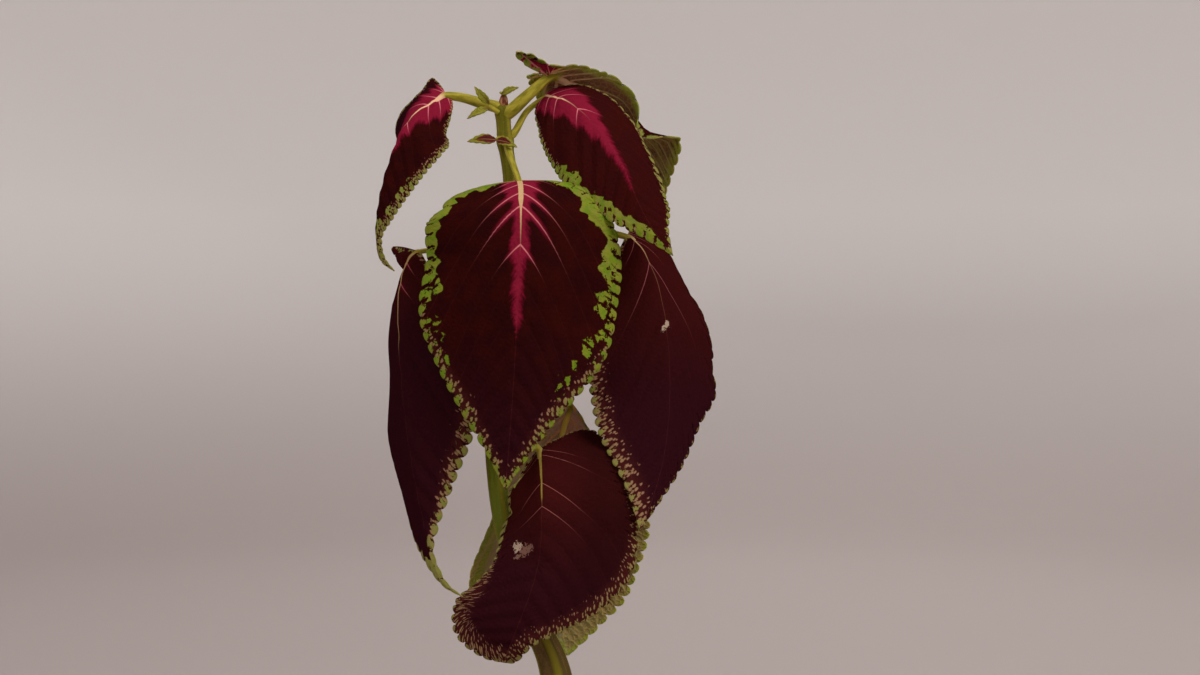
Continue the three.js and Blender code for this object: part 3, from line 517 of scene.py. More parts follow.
# Blade and markings of each leaf, with the same keys as in the part. Left and right are as seen on the upper
# face with the tip down. A value is one number, or pairs of a place and a value.
leaves = {
    "leaf_1_upper_left": {
        "teeth": 34, "stalk": 1.15, "pale": 0.6, "veinWidth": 0.8, "ruffle": [1, 2.6],
        "petiole": [[-26, 0, 361.5], [-33.5, -1, 363.5], [-41, -2, 365.5]],
        "midrib": [
            [-47.5, -3, 367], [-53, -7, 363], [-59, -10, 358.5], [-64.5, -13, 351.5], [-68, -15, 343],
            [-72, -17, 330], [-74.5, -18, 317], [-75, -18, 307], [-72.5, -17.5, 297.5], [-67.5, -17, 292],
        ],
        "facing": [[0, [-0.1, -0.8, 0.5]], [0.3, [-0.5, -0.8, 0.4]], [1, [-0.7, -0.7, 0.2]]],
        "rib": [[0, 0.8], [0.1, 0.5], [0.2, 0.35], [0.3, 0.12], [0.42, -0.3]],
        "veins": [[0, 10], [0.12, 11], [0.25, 6], [0.36, 0]],
        "left": {
            "half": 26, "scallop": [[0, 0.3], [0.5, 0.4], [0.7, 1.4]],
            "fold": [[-0.1, -5], [0.1, 5], [0.2, 30], [0.3, 50], [0.45, 60], [0.75, 60], [0.85, 40], [1, 15]],
            "outline": [
                [0, 0], [-0.03, 0.3], [-0.03, 0.47], [0.07, 0.38], [0.14, 0.42], [0.24, 0.86], [0.36, 0.95],
                [0.6, 0.7], [0.82, 0.36], [0.93, 0.1], [1, 0],
            ],
            "pink": [[0, 6], [0.25, 7], [0.38, 4], [0.5, 2.4], [0.62, -1]],
            "violet": [[0.1, 0], [0.3, 0.4], [0.5, 0.8]], "plum": [[0, 0.3], [0.3, 1.2]],
            "band": [[0, 0.5], [0.5, 0.8], [0.7, 2.5], [0.85, 5], [1, 6]],
            "closed": [[0, 0.3], [0.6, 0.5], [0.85, 0.8]], "flecks": [[0, 1], [0.7, 2], [1, 3]],
        },
        "right": {
            "half": 26, "scallop": [[0, 0.4], [0.3, 0.8], [0.5, 1.5]], "curl": [[0, 20], [1, 10]],
            "fold": [[0, 19], [0.25, 12], [0.45, 8]],
            "outline": [
                [0, 0], [0, 0.16], [0.07, 0.4], [0.22, 0.8], [0.33, 0.88], [0.53, 0.66], [0.73, 0.34],
                [0.82, 0.13], [0.92, 0.05], [1, 0],
            ],
            "pink": [[0, 8], [0.12, 8], [0.25, 5], [0.36, 2.5], [0.46, -1]],
            "band": [[0, 0.5], [0.3, 1.2], [0.45, 2.4], [0.56, 4.8], [0.7, 5.5], [0.85, 6], [1, 6]],
            "closed": [[0, 0.2], [0.45, 0.42], [0.6, 0.5], [0.8, 0.56], [0.9, 0.66]],
            "flecks": [[0, 1], [0.3, 3], [0.5, 5], [0.8, 5], [1, 3]],
        },
    },
    "leaf_2_upper_right_front": {
        "teeth": 28, "stalk": 0.72, "pale": 0.1, "veinWidth": 0.9, "ruffle": [0.8, 3.2],
        "petiole": [[-20, 2, 350.5], [-14, 5.5, 361]],
        "midrib": [
            [-7, 5, 367.5], [-4, 0, 366.5], [1.5, -8, 364], [9.5, -16, 357.5], [19.5, -24, 345],
            [26.5, -29, 333], [32.5, -33, 318], [38, -34, 308], [46, -33, 297.5],
        ],
        "facing": [[0, [-0.1, -1, 0.5]], [0.3, [-0.1, -1, 0.3]], [1, [-0.1, -1, 0.2]]],
        "rib": [[0, 0.7], [0.08, 0.5], [0.2, 0.25], [0.33, 0.12], [0.42, -0.3]],
        "veins": [[0, 12], [0.12, 14], [0.25, 9], [0.38, 0]], "ruddy": 0.35,
        "left": {
            "half": 26, "scallop": [[0, 1.6], [0.45, 1.1], [1, 1.1]], "curl": [[0, 20], [1, 10]],
            "fold": [[0, 10], [0.3, 10], [1, 8]],
            "outline": [
                [0, 0], [-0.02, 0.14], [0.05, 0.47], [0.21, 0.81], [0.36, 0.96], [0.52, 0.93], [0.71, 0.66],
                [0.86, 0.24], [0.94, 0.09], [1, 0],
            ],
            "pink": [[0, 8], [0.15, 8], [0.28, 6], [0.4, 3.8], [0.52, 2.4], [0.66, 1], [0.74, -1]],
            "band": [
                [0, 0.5], [0.2, 1.4], [0.41, 2.2], [0.48, 6.4], [0.55, 6.8], [0.7, 6], [0.85, 5], [1, 3.4],
            ],
            "closed": [[0, 0.3], [0.4, 0.36], [0.48, 1.15], [0.85, 1.05], [1, 0.8]],
            "flecks": [[0, 1], [0.3, 3], [0.45, 4], [0.8, 4], [1, 3]],
        },
        "right": {
            "half": 28, "scallop": 1.8, "curl": [[0, 20], [0.3, 35], [1, 20]],
            "fold": [[0, 5], [0.3, 30], [0.6, 38], [1, 35]],
            "outline": [
                [0, 0], [-0.02, 0.12], [0.1, 0.5], [0.27, 0.8], [0.41, 0.86], [0.58, 0.72], [0.74, 0.63],
                [0.82, 0.56], [0.92, 0.24], [1, 0],
            ],
            "pink": [[0, 6], [0.12, 8.5], [0.28, 7], [0.38, 3.6], [0.5, 1.6], [0.66, 0.4], [0.72, -1]],
            "pale": [[0, 1], [0.45, 0.9], [0.75, 0.4]],
            "band": [
                [0, 0.6], [0.2, 1.4], [0.3, 2.4], [0.42, 2.2], [0.6, 3.2], [0.75, 3.6], [0.86, 2.4], [1, 2],
            ],
            "closed": [[0, 0.3], [0.32, 0.4], [0.5, 0.65], [0.8, 0.85], [0.88, 0.5], [1, 0.4]],
            "flecks": [[0, 1], [0.4, 3], [0.8, 3], [1, 2]],
        },
    },
    "leaf_3_upper_right_back": {
        "teeth": 26, "stalk": 1.25, "pale": 0.3, "underRim": 6, "turnedLobe": -0.02, "ruffle": [0.8, 2.8],
        "petiole": [[-20.5, -1.5, 360], [-12.5, -3.5, 367]],
        "midrib": [
            [-4, 0, 376], [0.5, 5, 375], [7, 12, 373.5], [17, 19, 369.5], [26.5, 27, 360.5], [35, 32, 345.5],
            [39, 34, 329], [40, 33, 316],
        ],
        "facing": [
            [0, [0.2, 0.35, 0.9]], [0.3, [0.4, 0.5, 0.7]], [0.6, [0.65, 0.55, 0.4]], [1, [0.8, 0.6, 0]],
        ],
        "rib": [[-0.03, -0.4], [0, 1.1], [0.12, 0.8], [0.3, 0.4], [0.4, -0.3]],
        "veins": [[0, 16], [0.12, 18], [0.25, 11], [0.45, 0]],
        "keel": [
            [0.012, 0.9, 1], [0.06, 1, 1], [0.15, 1.1, 1], [0.3, 1, 1], [0.45, 0.9, 1], [0.6, 0.8, 0.25],
        ],
        "blotches": [[0.4, 0], [0.6, 1]],
        "underGreen": [[-0.08, 1.3], [-0.02, 0.3], [0, 0.1], [0.4, 0.3], [0.7, 0.8]],
        "left": {
            "half": 31,
            "curl": [[-0.2, 60], [-0.05, 20], [0, 10], [0.36, 20], [0.46, 80], [0.54, 70], [0.64, 10]],
            "fold": [[-0.2, -30], [-0.12, -20], [-0.03, -8], [0.1, -12], [0.25, -5], [0.4, 0], [1, 5]],
            "outline": [
                [0, 0], [-0.12, 0.02], [-0.22, 0.03], [-0.27, 0.12], [-0.2, 0.2], [-0.06, 0.22], [0.02, 0.46],
                [0.17, 0.53], [0.33, 0.6], [0.45, 0.74], [0.57, 1.04], [0.67, 1.03], [0.81, 0.62],
                [0.9, 0.36], [1, 0],
            ],
            "pink": [[-0.15, 3], [0, 8], [0.2, 8], [0.4, 4], [0.6, -1]],
            "band": [[0, 0.5], [0.08, 1], [0.13, 4.5], [0.2, 5], [0.24, 2], [0.5, 2.4], [1, 3]],
            "closed": [[0, 0.5], [0.12, 1], [0.2, 1], [0.26, 0.6], [0.5, 0.9], [1, 0.9]],
            "flecks": [[0, 0.5], [1, 3]],
        },
        "right": {
            "half": 31, "fold": [[-0.1, 25], [0.1, 30], [1, 25]],
            "outline": [
                [0, 0], [-0.06, 0.06], [-0.1, 0.16], [-0.05, 0.29], [0.02, 0.38], [0.12, 0.7], [0.26, 0.89],
                [0.4, 0.86], [0.6, 0.67], [0.82, 0.33], [0.93, 0.12], [1, 0],
            ],
            "pink": [[0, 8], [0.2, 8], [0.4, 4], [0.6, -1]], "band": [[0, 2.4], [0.2, 3], [0.5, 4], [1, 3]],
            "closed": [[0, 1], [0.5, 0.9], [1, 0.9]], "flecks": [[0, 2], [1, 3]],
        },
    },
    "leaf_4_centre": {
        "teeth": 30, "stalk": 0.78, "pale": 0, "ribGreen": 0.42, "veinPink": 1, "veinWidth": 1,
        "ruffle": [1, 3.4], "petiole": [[-22.5, -2, 347], [-20.5, -12, 340.5]],
        "midrib": [
            [-16, -22, 329], [-15, -30, 325.5], [-14.5, -38, 317.5], [-14.5, -41, 303.5], [-15.5, -42, 284],
            [-16.5, -41, 260], [-18.5, -37, 232.5], [-21, -33, 204],
        ],
        "facing": [[0, [0, -1, 0.3]]],
        "rib": [[0, 1.1], [0.13, 1], [0.16, 0.4], [0.27, 0.2], [0.31, 0.05], [0.34, -0.3]],
        "veins": [[0, 17], [0.045, 20], [0.095, 24], [0.15, 24], [0.27, 12], [0.32, 4], [0.4, 0]],
        "veinStarts": [0, 0.045, 0.095, 0.15, 0.27, 0.37, 0.47, 0.57, 0.66, 0.74, 0.81, 0.88, 1],
        "plum": [[0, 0], [0.5, 0], [0.85, 0.8]],
        "left": {
            "half": 45, "scallop": [[0, 0.5], [0.34, 0.7], [0.5, 1.9]], "curl": [[0, 18], [0.3, 25], [1, 10]],
            "fold": [[0, 2], [0.15, 8], [0.3, 12], [1, 10]],
            "outline": [
                [0, 0], [-0.04, 0.4], [-0.03, 0.66], [0.1, 0.85], [0.3, 0.97], [0.45, 0.98], [0.59, 0.88],
                [0.79, 0.46], [0.92, 0.16], [1, 0],
            ],
            "pink": [
                [0, 7], [0.09, 7], [0.15, 3.6], [0.2, 2.6], [0.27, 4.2], [0.31, 3.2], [0.36, 2.4], [0.48, 2],
                [0.56, -1],
            ],
            "band": [
                [0, 0.3], [0.04, 1.2], [0.07, 7], [0.12, 8.5], [0.25, 8], [0.38, 8], [0.48, 9], [0.6, 12],
                [0.72, 11], [0.82, 7], [0.88, 2.5], [1, 1.6],
            ],
            "closed": [
                [0, 1.8], [0.3, 1.5], [0.42, 1.15], [0.5, 0.56], [0.62, 0.4], [0.86, 0.3], [0.94, 0.36],
                [1, 0.5],
            ],
            "flecks": [[0, 0.4], [0.5, 1], [0.62, 6], [0.8, 8], [1, 4]],
        },
        "right": {
            "half": 46, "scallop": [[0, 1.1], [0.36, 1.3], [0.5, 1.9]], "curl": [[0, 18], [0.3, 25], [1, 10]],
            "fold": [[0, 6], [0.3, 12], [1, 10]],
            "outline": [
                [0, 0], [0.025, 0.35], [0.06, 0.6], [0.15, 0.82], [0.3, 0.95], [0.45, 0.94], [0.62, 0.78],
                [0.8, 0.37], [0.92, 0.14], [1, 0],
            ],
            "pink": [
                [0, 8], [0.09, 7], [0.15, 4], [0.2, 2.8], [0.25, 4.2], [0.3, 2.6], [0.36, 2], [0.48, 1.8],
                [0.56, -1],
            ],
            "band": [
                [0, 0.4], [0.08, 2.4], [0.15, 7], [0.25, 9.4], [0.38, 9], [0.5, 11], [0.62, 13], [0.72, 11],
                [0.82, 6], [0.88, 2.5], [1, 1.6],
            ],
            "closed": [
                [0, 1.6], [0.3, 1.4], [0.38, 1], [0.48, 0.7], [0.6, 0.4], [0.75, 0.26], [0.86, 0.2],
                [0.93, 0.36],
            ],
            "flecks": [[0, 0.4], [0.5, 1], [0.66, 6], [0.8, 8], [1, 4]],
        },
    },
    "leaf_5_right": {
        "teeth": 28, "stalk": 0.92, "pale": 0.7, "ribGreen": 0.35, "veinPink": 0.05, "veinTone": 0.5,
        "veinWidth": 0.2, "ruffle": [1, 3.8], "veinLean": [2.4, 0.3],
        "petiole": [[-20, -0.5, 300], [0, -2, 305.5], [16.5, -3, 309]],
        "midrib": [
            [28.5, -4, 308], [34, -7, 302.5], [39, -9, 292.5], [42.5, -11, 280.5], [45, -13, 262],
            [45.5, -16, 239.5], [43, -21, 217], [38, -26, 199.5], [33, -30, 187.5],
        ],
        "facing": [[0, [0.3, -0.9, 0.4]], [1, [0.3, -0.95, 0.1]]],
        "rib": [[0, 0.42], [0.06, 0.3], [0.14, 0.18], [0.36, 0.12], [0.42, -0.3]],
        "veins": [[0, 12], [0.03, 14], [0.12, 22], [0.2, 6], [0.3, 0]],
        "veinStarts": [0, 0.03, 0.12, 0.25, 0.36, 0.47, 0.57, 0.66, 0.74, 0.81, 0.87, 0.92, 1],
        "keel": [[0.012, 1.1, 1], [0.035, 1.4, 1], [0.08, 1.8, 1], [0.14, 2, 1], [0.22, 2.1, 0.3]],
        "plum": [[0, 0], [0.2, 0.2], [0.6, 1]], "ruddy": [[0, 0.6], [0.3, 0.5], [0.5, 0.1], [0.7, 0]],
        "scars": [[42.4, 0.5, 1.25, 0], [43.8, -0.6, 1, 0], [45, -1.8, 0.6, 0]],
        "left": {
            "half": 37, "fleckRows": 1.9, "fleckSize": 0.09, "fleckPink": 0.75, "curl": [[0, 20], [1, 10]],
            "fold": [[0, 10], [0.3, 12], [1, 10]],
            "outline": [
                [0, 0], [0.015, 0.18], [0.09, 0.5], [0.22, 0.76], [0.38, 0.92], [0.55, 0.9], [0.71, 0.76],
                [0.8, 0.58], [0.88, 0.34], [0.95, 0.15], [1, 0],
            ],
            "band": [[0, 1], [0.3, 2], [0.5, 3.4], [0.7, 5.4], [0.85, 6], [1, 4]],
            "closed": [[0, 0.3], [0.4, 0.42], [0.7, 0.36], [0.9, 0.3], [1, 0.25]],
            "flecks": [[0, 2], [0.3, 6], [0.45, 9], [0.8, 11], [1, 8]],
        },
        "right": {
            "half": 34, "fleckSize": 0.02, "curl": [[0, 20], [1, 15]],
            "fold": [[0, 26], [0.12, 32], [0.22, 34], [0.35, 26], [1, 20]],
            "outline": [
                [0, 0], [-0.04, 0.3], [0.05, 0.62], [0.2, 0.88], [0.33, 1], [0.4, 1.08], [0.46, 0.93],
                [0.53, 0.92], [0.62, 0.62], [0.75, 0.36], [0.9, 0.12], [1, 0],
            ],
            "band": [[0, 0.3], [0.4, 0.5], [1, 0.9]], "closed": [[0, 0.1], [1, 0.2]],
            "flecks": [[0, 0.5], [0.35, 0.8], [0.5, 1.6], [0.8, 1.8], [1, 4]],
        },
    },
    "leaf_6_left": {
        "teeth": 30, "stalk": 0.7, "pale": 0.6, "ribGreen": 0.65, "veinTone": 0.7, "veinWidth": 0.4,
        "ruffle": [0.9, 3.1], "veinLean": [1.5, 0.4], "petiole": [[-24.5, -0.5, 299], [-42, -3, 301.5]],
        "midrib": [
            [-59, -4, 302], [-63.5, -6, 297], [-66.5, -8, 287], [-67, -9, 276.5], [-66.5, -11, 262],
            [-63.5, -13, 231], [-59.5, -15, 206.5], [-55, -18, 186.5], [-51.5, -22, 174], [-46, -26, 165.5],
            [-38.5, -30, 161],
        ],
        "facing": [[0, [-0.5, -0.85, 0.2]], [0.15, [-0.6, -0.8, 0.15]], [1, [-0.55, -0.8, 0.1]]],
        "rib": [[0, 0.8], [0.06, 0.5], [0.12, 0.32], [0.26, 0.26], [0.33, 0.1], [0.38, -0.3]],
        "veins": [[0, 8], [0.1, 9], [0.19, 5], [0.26, 0]], "plum": [[0, 0.3], [0.3, 0.9]],
        "ruddy": [[0, 0.8], [0.12, 0.5], [0.25, 0]],
        "left": {
            "half": 34,
            "fold": [[0, 5], [0.035, 8], [0.065, 56], [0.1, 46], [0.16, 37], [0.3, 34], [0.5, 30], [1, 33]],
            "outline": [
                [0, 0], [0.02, 0.1], [0.028, 0.22], [0.03, 0.4], [0.045, 0.37], [0.065, 0.32], [0.13, 0.62],
                [0.28, 0.9], [0.45, 0.98], [0.62, 0.88], [0.77, 0.6], [0.86, 0.24], [0.93, 0.08], [1, 0],
            ],
            "band": [[0, 0.1], [0.5, 0.6], [0.8, 1.4], [0.9, 5], [1, 5]],
            "closed": [[0, 0.4], [0.8, 0.6], [0.9, 1.6]], "flecks": [[0, 0.4], [0.5, 0.6], [1, 3]],
        },
        "right": {
            "half": 38, "fleckRows": 1.3, "fleckSize": 0.09, "fleckPink": 0.5, "curl": [[0, 20], [1, 10]],
            "fold": [[0, 10], [0.3, 12], [1, 10]],
            "outline": [
                [0, 0], [0.02, 0.25], [0.12, 0.67], [0.27, 0.92], [0.42, 0.94], [0.56, 0.75], [0.68, 0.45],
                [0.78, 0.18], [0.83, 0.07], [0.92, 0.04], [1, 0],
            ],
            "band": [[0, 2], [0.3, 4], [0.5, 5.6], [0.7, 5], [0.82, 3], [0.9, 6]],
            "closed": [[0, 0.2], [0.35, 0.34], [0.5, 0.44], [0.72, 0.42], [0.82, 0.5], [0.88, 1.6]],
            "flecks": [[0, 3], [0.35, 8], [0.5, 11], [0.65, 9], [0.8, 5], [1, 3]],
        },
    },
    "leaf_7_bottom_front": {
        "teeth": 30, "pale": 0.9, "ribGreen": 1, "veinPink": 0, "veinTone": 0.7, "veinWidth": 0.1,
        "ruffle": [0.8, 3.5], "dimple": [51, 0.5], "veinLean": [0.6, 0.25],
        "petiole": [[-27.5, -2, 234], [-20, -12, 229]],
        "midrib": [
            [-8, -18, 220], [-7.5, -24, 216.5], [-7, -28, 210.5], [-6.5, -32, 196.5], [-7, -34, 181],
            [-9.5, -35, 168], [-13.5, -35, 156.5], [-18, -33, 145], [-22, -27.5, 134],
        ],
        "facing": [[0, [-0.1, -1, 0.3]], [0.5, [-0.1, -1, 0.1]]],
        "rib": [[0, 0.8], [0.12, 0.55], [0.25, 0.35], [0.3, 0.1], [0.5, 0.02], [0.56, -0.3]],
        "veins": [[0, 0], [0.01, 0], [0.02, 20], [0.055, 26], [0.19, 24], [0.29, 20], [0.36, 0]],
        "veinStarts": [0, 0.02, 0.055, 0.19, 0.29, 0.4, 0.5, 0.6, 0.69, 0.77, 0.84, 0.91, 1],
        "plum": [[0, 0.3], [0.3, 0.6], [0.6, 1]], "ruddy": [[0, 0.7], [0.25, 0.9], [0.45, 0.4], [0.6, 0.1]],
        "scars": [[45.5, -12, 2.2, 0], [46.5, -8, 2.4, 1], [45, -5.2, 1.5, 1], [50, -10.5, 1, 0.6]],
        "left": {
            "half": 40, "fleckRows": 1.1, "fleckFine": 5, "fleckSize": 0.06, "fleckPink": 0.6,
            "curl": [[0, 20], [1, 10]], "fold": [[0, 40], [0.3, 48], [0.6, 20], [1, 5]],
            "outline": [
                [0, 0], [0, 0.35], [0.14, 0.62], [0.32, 0.74], [0.48, 0.6], [0.58, 0.55], [0.72, 0.62],
                [0.85, 0.74], [0.96, 0.68], [1.02, 0.5], [1.03, 0.2], [1, 0],
            ],
            "lean": [[0, 0.4], [0.5, 0.6], [0.62, 1.6], [1, 0.3]],
            "band": [[0, 1.6], [0.12, 4], [0.3, 4.2], [0.42, 3], [0.52, 1.4], [0.6, 1.8], [0.8, 2.4], [1, 3]],
            "closed": [[0, 0.9], [0.42, 1], [0.5, 0.4], [0.6, 0.2], [1, 0.25]],
            "flecks": [[0, 1], [0.5, 1], [0.58, 5], [0.7, 10], [0.85, 12], [1, 9]],
        },
        "right": {
            "half": 42, "fleckFine": 4.5, "fleckSize": 0.02, "fleckPink": 0.4, "curl": [[0, 15], [1, 10]],
            "fold": [[0, 8], [0.3, 12], [0.6, 10], [1, 5]],
            "outline": [
                [0, 0], [-0.07, 0.2], [-0.13, 0.4], [-0.13, 0.56], [0, 0.7], [0.12, 0.8], [0.3, 0.94],
                [0.5, 0.93], [0.6, 0.78], [0.75, 0.45], [0.86, 0.22], [0.98, 0.1], [1, 0],
            ],
            # painted shade on this side, where the leaves above shade it
            "deep": [[0, 0.5], [0.5, 0.4], [0.8, 0]],
            "band": [[0, 0.6], [0.3, 0.8], [0.42, 1.2], [0.5, 0.6], [0.76, 0.7], [0.86, 2.4], [1, 3]],
            "closed": [[0, 0.2], [0.3, 0.2], [0.6, 0.2], [0.8, 0.25], [1, 0.3]],
            "flecks": [[0, 1], [0.3, 1.6], [0.42, 4], [0.6, 7], [0.8, 7], [1, 10]],
        },
    },
    "leaf_8_bottom_back": {
        "teeth": 26, "pale": 0.5, "ribGreen": 1, "underPale": 0.4, "underRim": 2.2, "paintedStalkGlow": 1,
        "ruffle": [0.8, 3], "petiole": [[-26, 2, 236], [-12.5, 14, 238.5]],
        "midrib": [
            [4.5, 22, 237], [2, 27, 229], [-0.5, 30, 220], [-4, 34, 193], [-3.5, 34, 166.5], [-0.5, 30, 141],
            [3, 26, 126],
        ],
        "facing": [[0, [0, 1, 0.3]], [1, [0, 1, 0.2]]],
        "rib": [[0, 1.5], [0.2, 0.9], [0.4, 0.4], [0.6, -0.3]],
        "veins": [[0, 20], [0.12, 22], [0.25, 14], [0.47, 0]],
        "keel": [
            [0.012, 0.9, 1], [0.06, 1.2, 1], [0.15, 1.4, 1], [0.3, 1.2, 1], [0.45, 1, 1], [0.6, 0.8, 0.3],
        ],
        "plum": 0.5, "underGreen": 1.1,
        "left": {
            "half": 40, "scallop": 3, "fold": [[0, 50], [0.15, 25], [0.45, 12], [1, 10]],
            "outline": [
                [0, 0], [0.01, 0.22], [0.04, 0.42], [0.07, 0.82], [0.16, 1], [0.34, 1.1], [0.5, 1.12],
                [0.68, 1], [0.83, 0.77], [0.93, 0.42], [1, 0],
            ],
            # painted light on the shaded underside near the stalk
            "underLight": [[0, 0.9], [0.14, 0.8], [0.35, 0.25], [0.5, 0.05]],
            "band": [[0, 2], [0.3, 4], [0.6, 5], [1, 4]], "closed": [[0, 0.7], [0.5, 0.55], [1, 0.6]],
            "flecks": [[0, 3], [0.4, 9], [0.8, 9], [1, 5]],
        },
        "right": {
            "half": 40, "underRim": [[0, 2.2], [0.3, 3.5], [0.5, 8]], "scallop": 0.5,
            "fold": [[0, 50], [0.15, 40], [0.45, 38], [0.7, 20], [1, 10]],
            "outline": [
                [0, 0], [0.01, 0.2], [0.04, 0.36], [0.15, 0.58], [0.34, 0.78], [0.55, 0.94], [0.7, 1],
                [0.82, 0.86], [0.92, 0.46], [1, 0],
            ],
            "underLight": [[0, 0.8], [0.15, 0.5], [0.3, 0.35]], "band": [[0, 2], [0.3, 4], [0.6, 5], [1, 4]],
            "closed": [[0, 0.7], [0.5, 0.55], [1, 0.6]], "flecks": [[0, 3], [0.4, 9], [0.8, 9], [1, 5]],
        },
    },
}


class Blade:  # the bent sheet that a leaf follows, in mm
    def __init__(self, leaf):
        self.leaf = leaf
        self.path = Path(leaf["midrib"])
        self.length = self.path.length

    def frames(self, share):
        at = np.clip(share, 0, 1)
        along = self.path.heading(at)
        point = self.path.at(at) + along * ((share - at) * self.length)[..., None]
        places, facings = zip(*self.leaf["facing"])
        facing = np.stack([np.interp(at, places, axis) for axis in zip(*facings)], axis=-1)
        normal = unit(facing - along * np.sum(facing * along, axis=-1, keepdims=True))
        return point, along, normal, np.cross(normal, along)

    def surface(self, x, y, sign):
        side = self.leaf["left" if sign < 0 else "right"]
        share, across = x / self.length, y / side["half"]
        fold = np.radians(keyed(side["fold"], share))
        curl = np.radians(keyed(side.get("curl", bladeForm["curl"]), share))
        turn = fold + curl * across
        out = side["half"] / curl * (np.sin(turn) - np.sin(fold))
        drop = side["half"] / curl * (np.cos(fold) - np.cos(turn))
        point, _, normal, right = self.frames(share)
        height, waves = self.leaf["ruffle"]
        phase = 0.25 if sign > 0 else 0.6
        wave = height * across**2 * np.sin(2 * np.pi * (waves * share + phase))
        lift = normal * np.cos(turn)[..., None] + right * (sign * np.sin(turn))[..., None]
        return point + right * (sign * out)[..., None] - normal * drop[..., None] + lift * wave[..., None]

    def normal(self, x, y, sign):
        step = 0.5
        ahead = self.surface(x + step, y, sign) - self.surface(x - step, y, sign)
        outward = self.surface(x, y + step, sign) - self.surface(x, np.maximum(y - step, 0), sign)
        return unit(np.cross(outward, ahead) * -sign)


def rowRoots(u, length):  # where the rows start on the midrib, closest together at its foot
    return np.stack([(0.06 * u + 0.94 * u**2.6) * length, 0 * u], axis=-1)


def crenateSide(leaf, side, length):  # flat rows of one side, from midrib to margin, and its smooth outline
    teeth, perTooth = leaf["teeth"], bladeForm["perTooth"]
    rows = teeth * perTooth
    outline = Path([(a * length, c * side["half"]) for a, c in side["outline"]])
    u = np.linspace(0, 1, rows + 1)
    smooth = outline.at(u)
    heading = outline.heading(u)
    tooth = u * teeth
    crest = np.sin(np.pi * np.mod(tooth, 1) ** 0.85) ** 0.5  # round teeth, narrow notches
    crest[tooth < 0.5] = crest[-1] = 1
    taper = np.minimum(1, np.minimum((tooth + 0.5) / 3, (teeth - tooth) / 4))  # smaller towards both ends
    depth = keyed(side.get("scallop", bladeForm["scallop"]), u) * taper * (1 - crest)
    inward = np.stack([heading[:, 1], -heading[:, 0]], axis=-1) * depth[:, None]
    v = np.linspace(0, 1, bladeForm["columns"] + 1) ** 0.9
    flat = rowRoots(u, length)[:, None] * (1 - v)[None, :, None] + smooth[:, None] * v[None, :, None]
    flat = flat + inward[:, None] * smoothStep(0.7, 1, v)[None, :, None]
    flat[1:-1, 1:, 1] = np.maximum(flat[1:-1, 1:, 1], 0.02)
    return flat, smooth


def marginReading(flat, smooth):  # distance from the smooth margin, and the place along it, from 0 to 1
    points, batch = flat.reshape(-1, 2), 2000
    near = np.zeros(len(points), int)
    for start in range(0, len(points), batch):
        block = points[start:start + batch]
        near[start:start + batch] = np.argmin(((block[:, None] - smooth[None]) ** 2).sum(-1), axis=1)
    best, place = np.full(len(points), 1e9), np.zeros(len(points))
    for shift in (-1, 0):
        i = np.clip(near + shift, 0, len(smooth) - 2)
        run = smooth[i + 1] - smooth[i]
        t = np.clip(((points - smooth[i]) * run).sum(-1) / np.maximum((run**2).sum(-1), 1e-9), 0, 1)
        gap = np.linalg.norm(points - smooth[i] - run * t[:, None], axis=-1)
        closer = gap < best
        best[closer] = gap[closer]
        place[closer] = ((i + t) / (len(smooth) - 1))[closer]
    return best.reshape(flat.shape[:2]), place.reshape(flat.shape[:2])


# number of the side vein through each place, the gap to the next, and where it starts on the midrib
def veinReading(x, y, length, sign, lean, starts):
    def run(start):  # how far a vein that starts at this share has gone towards the tip
        slope = lean[0] * (np.minimum(0.3 + 3 * start, 0.9) + (0.08 if sign > 0 else -0.06))
        bend = lean[1] * np.minimum(0.013 + 0.09 * start, 0.05)
        return start * length + slope * y + bend * y**2, slope + 2 * bend * y

    low, high = np.zeros_like(x), np.ones_like(x)
    for _ in range(24):  # halving
        middle = (low + high) / 2
        under = run(middle)[0] < x
        low, high = np.where(under, middle, low), np.where(under, high, middle)
    start = (low + high) / 2
    slope = run(start)[1]
    number = np.interp(start, starts, np.arange(len(starts)))
    step = np.diff(starts)[np.clip(number.astype(int), 0, len(starts) - 2)]
    gap = step * length / np.sqrt(1 + slope**2)
    first, _ = run(np.zeros_like(x))
    behind = np.arctan2(first, y + 1e-6) - np.arctan2(x, y + 1e-6)  # lobes behind the first vein
    fan = math.radians(bladeForm["lobeFan"])
    lobe = behind > 0
    number = np.where(lobe, -behind / fan, number)
    gap = np.where(lobe, np.hypot(x, y) * fan, gap)
    return number, gap, np.where(lobe, 0, start)


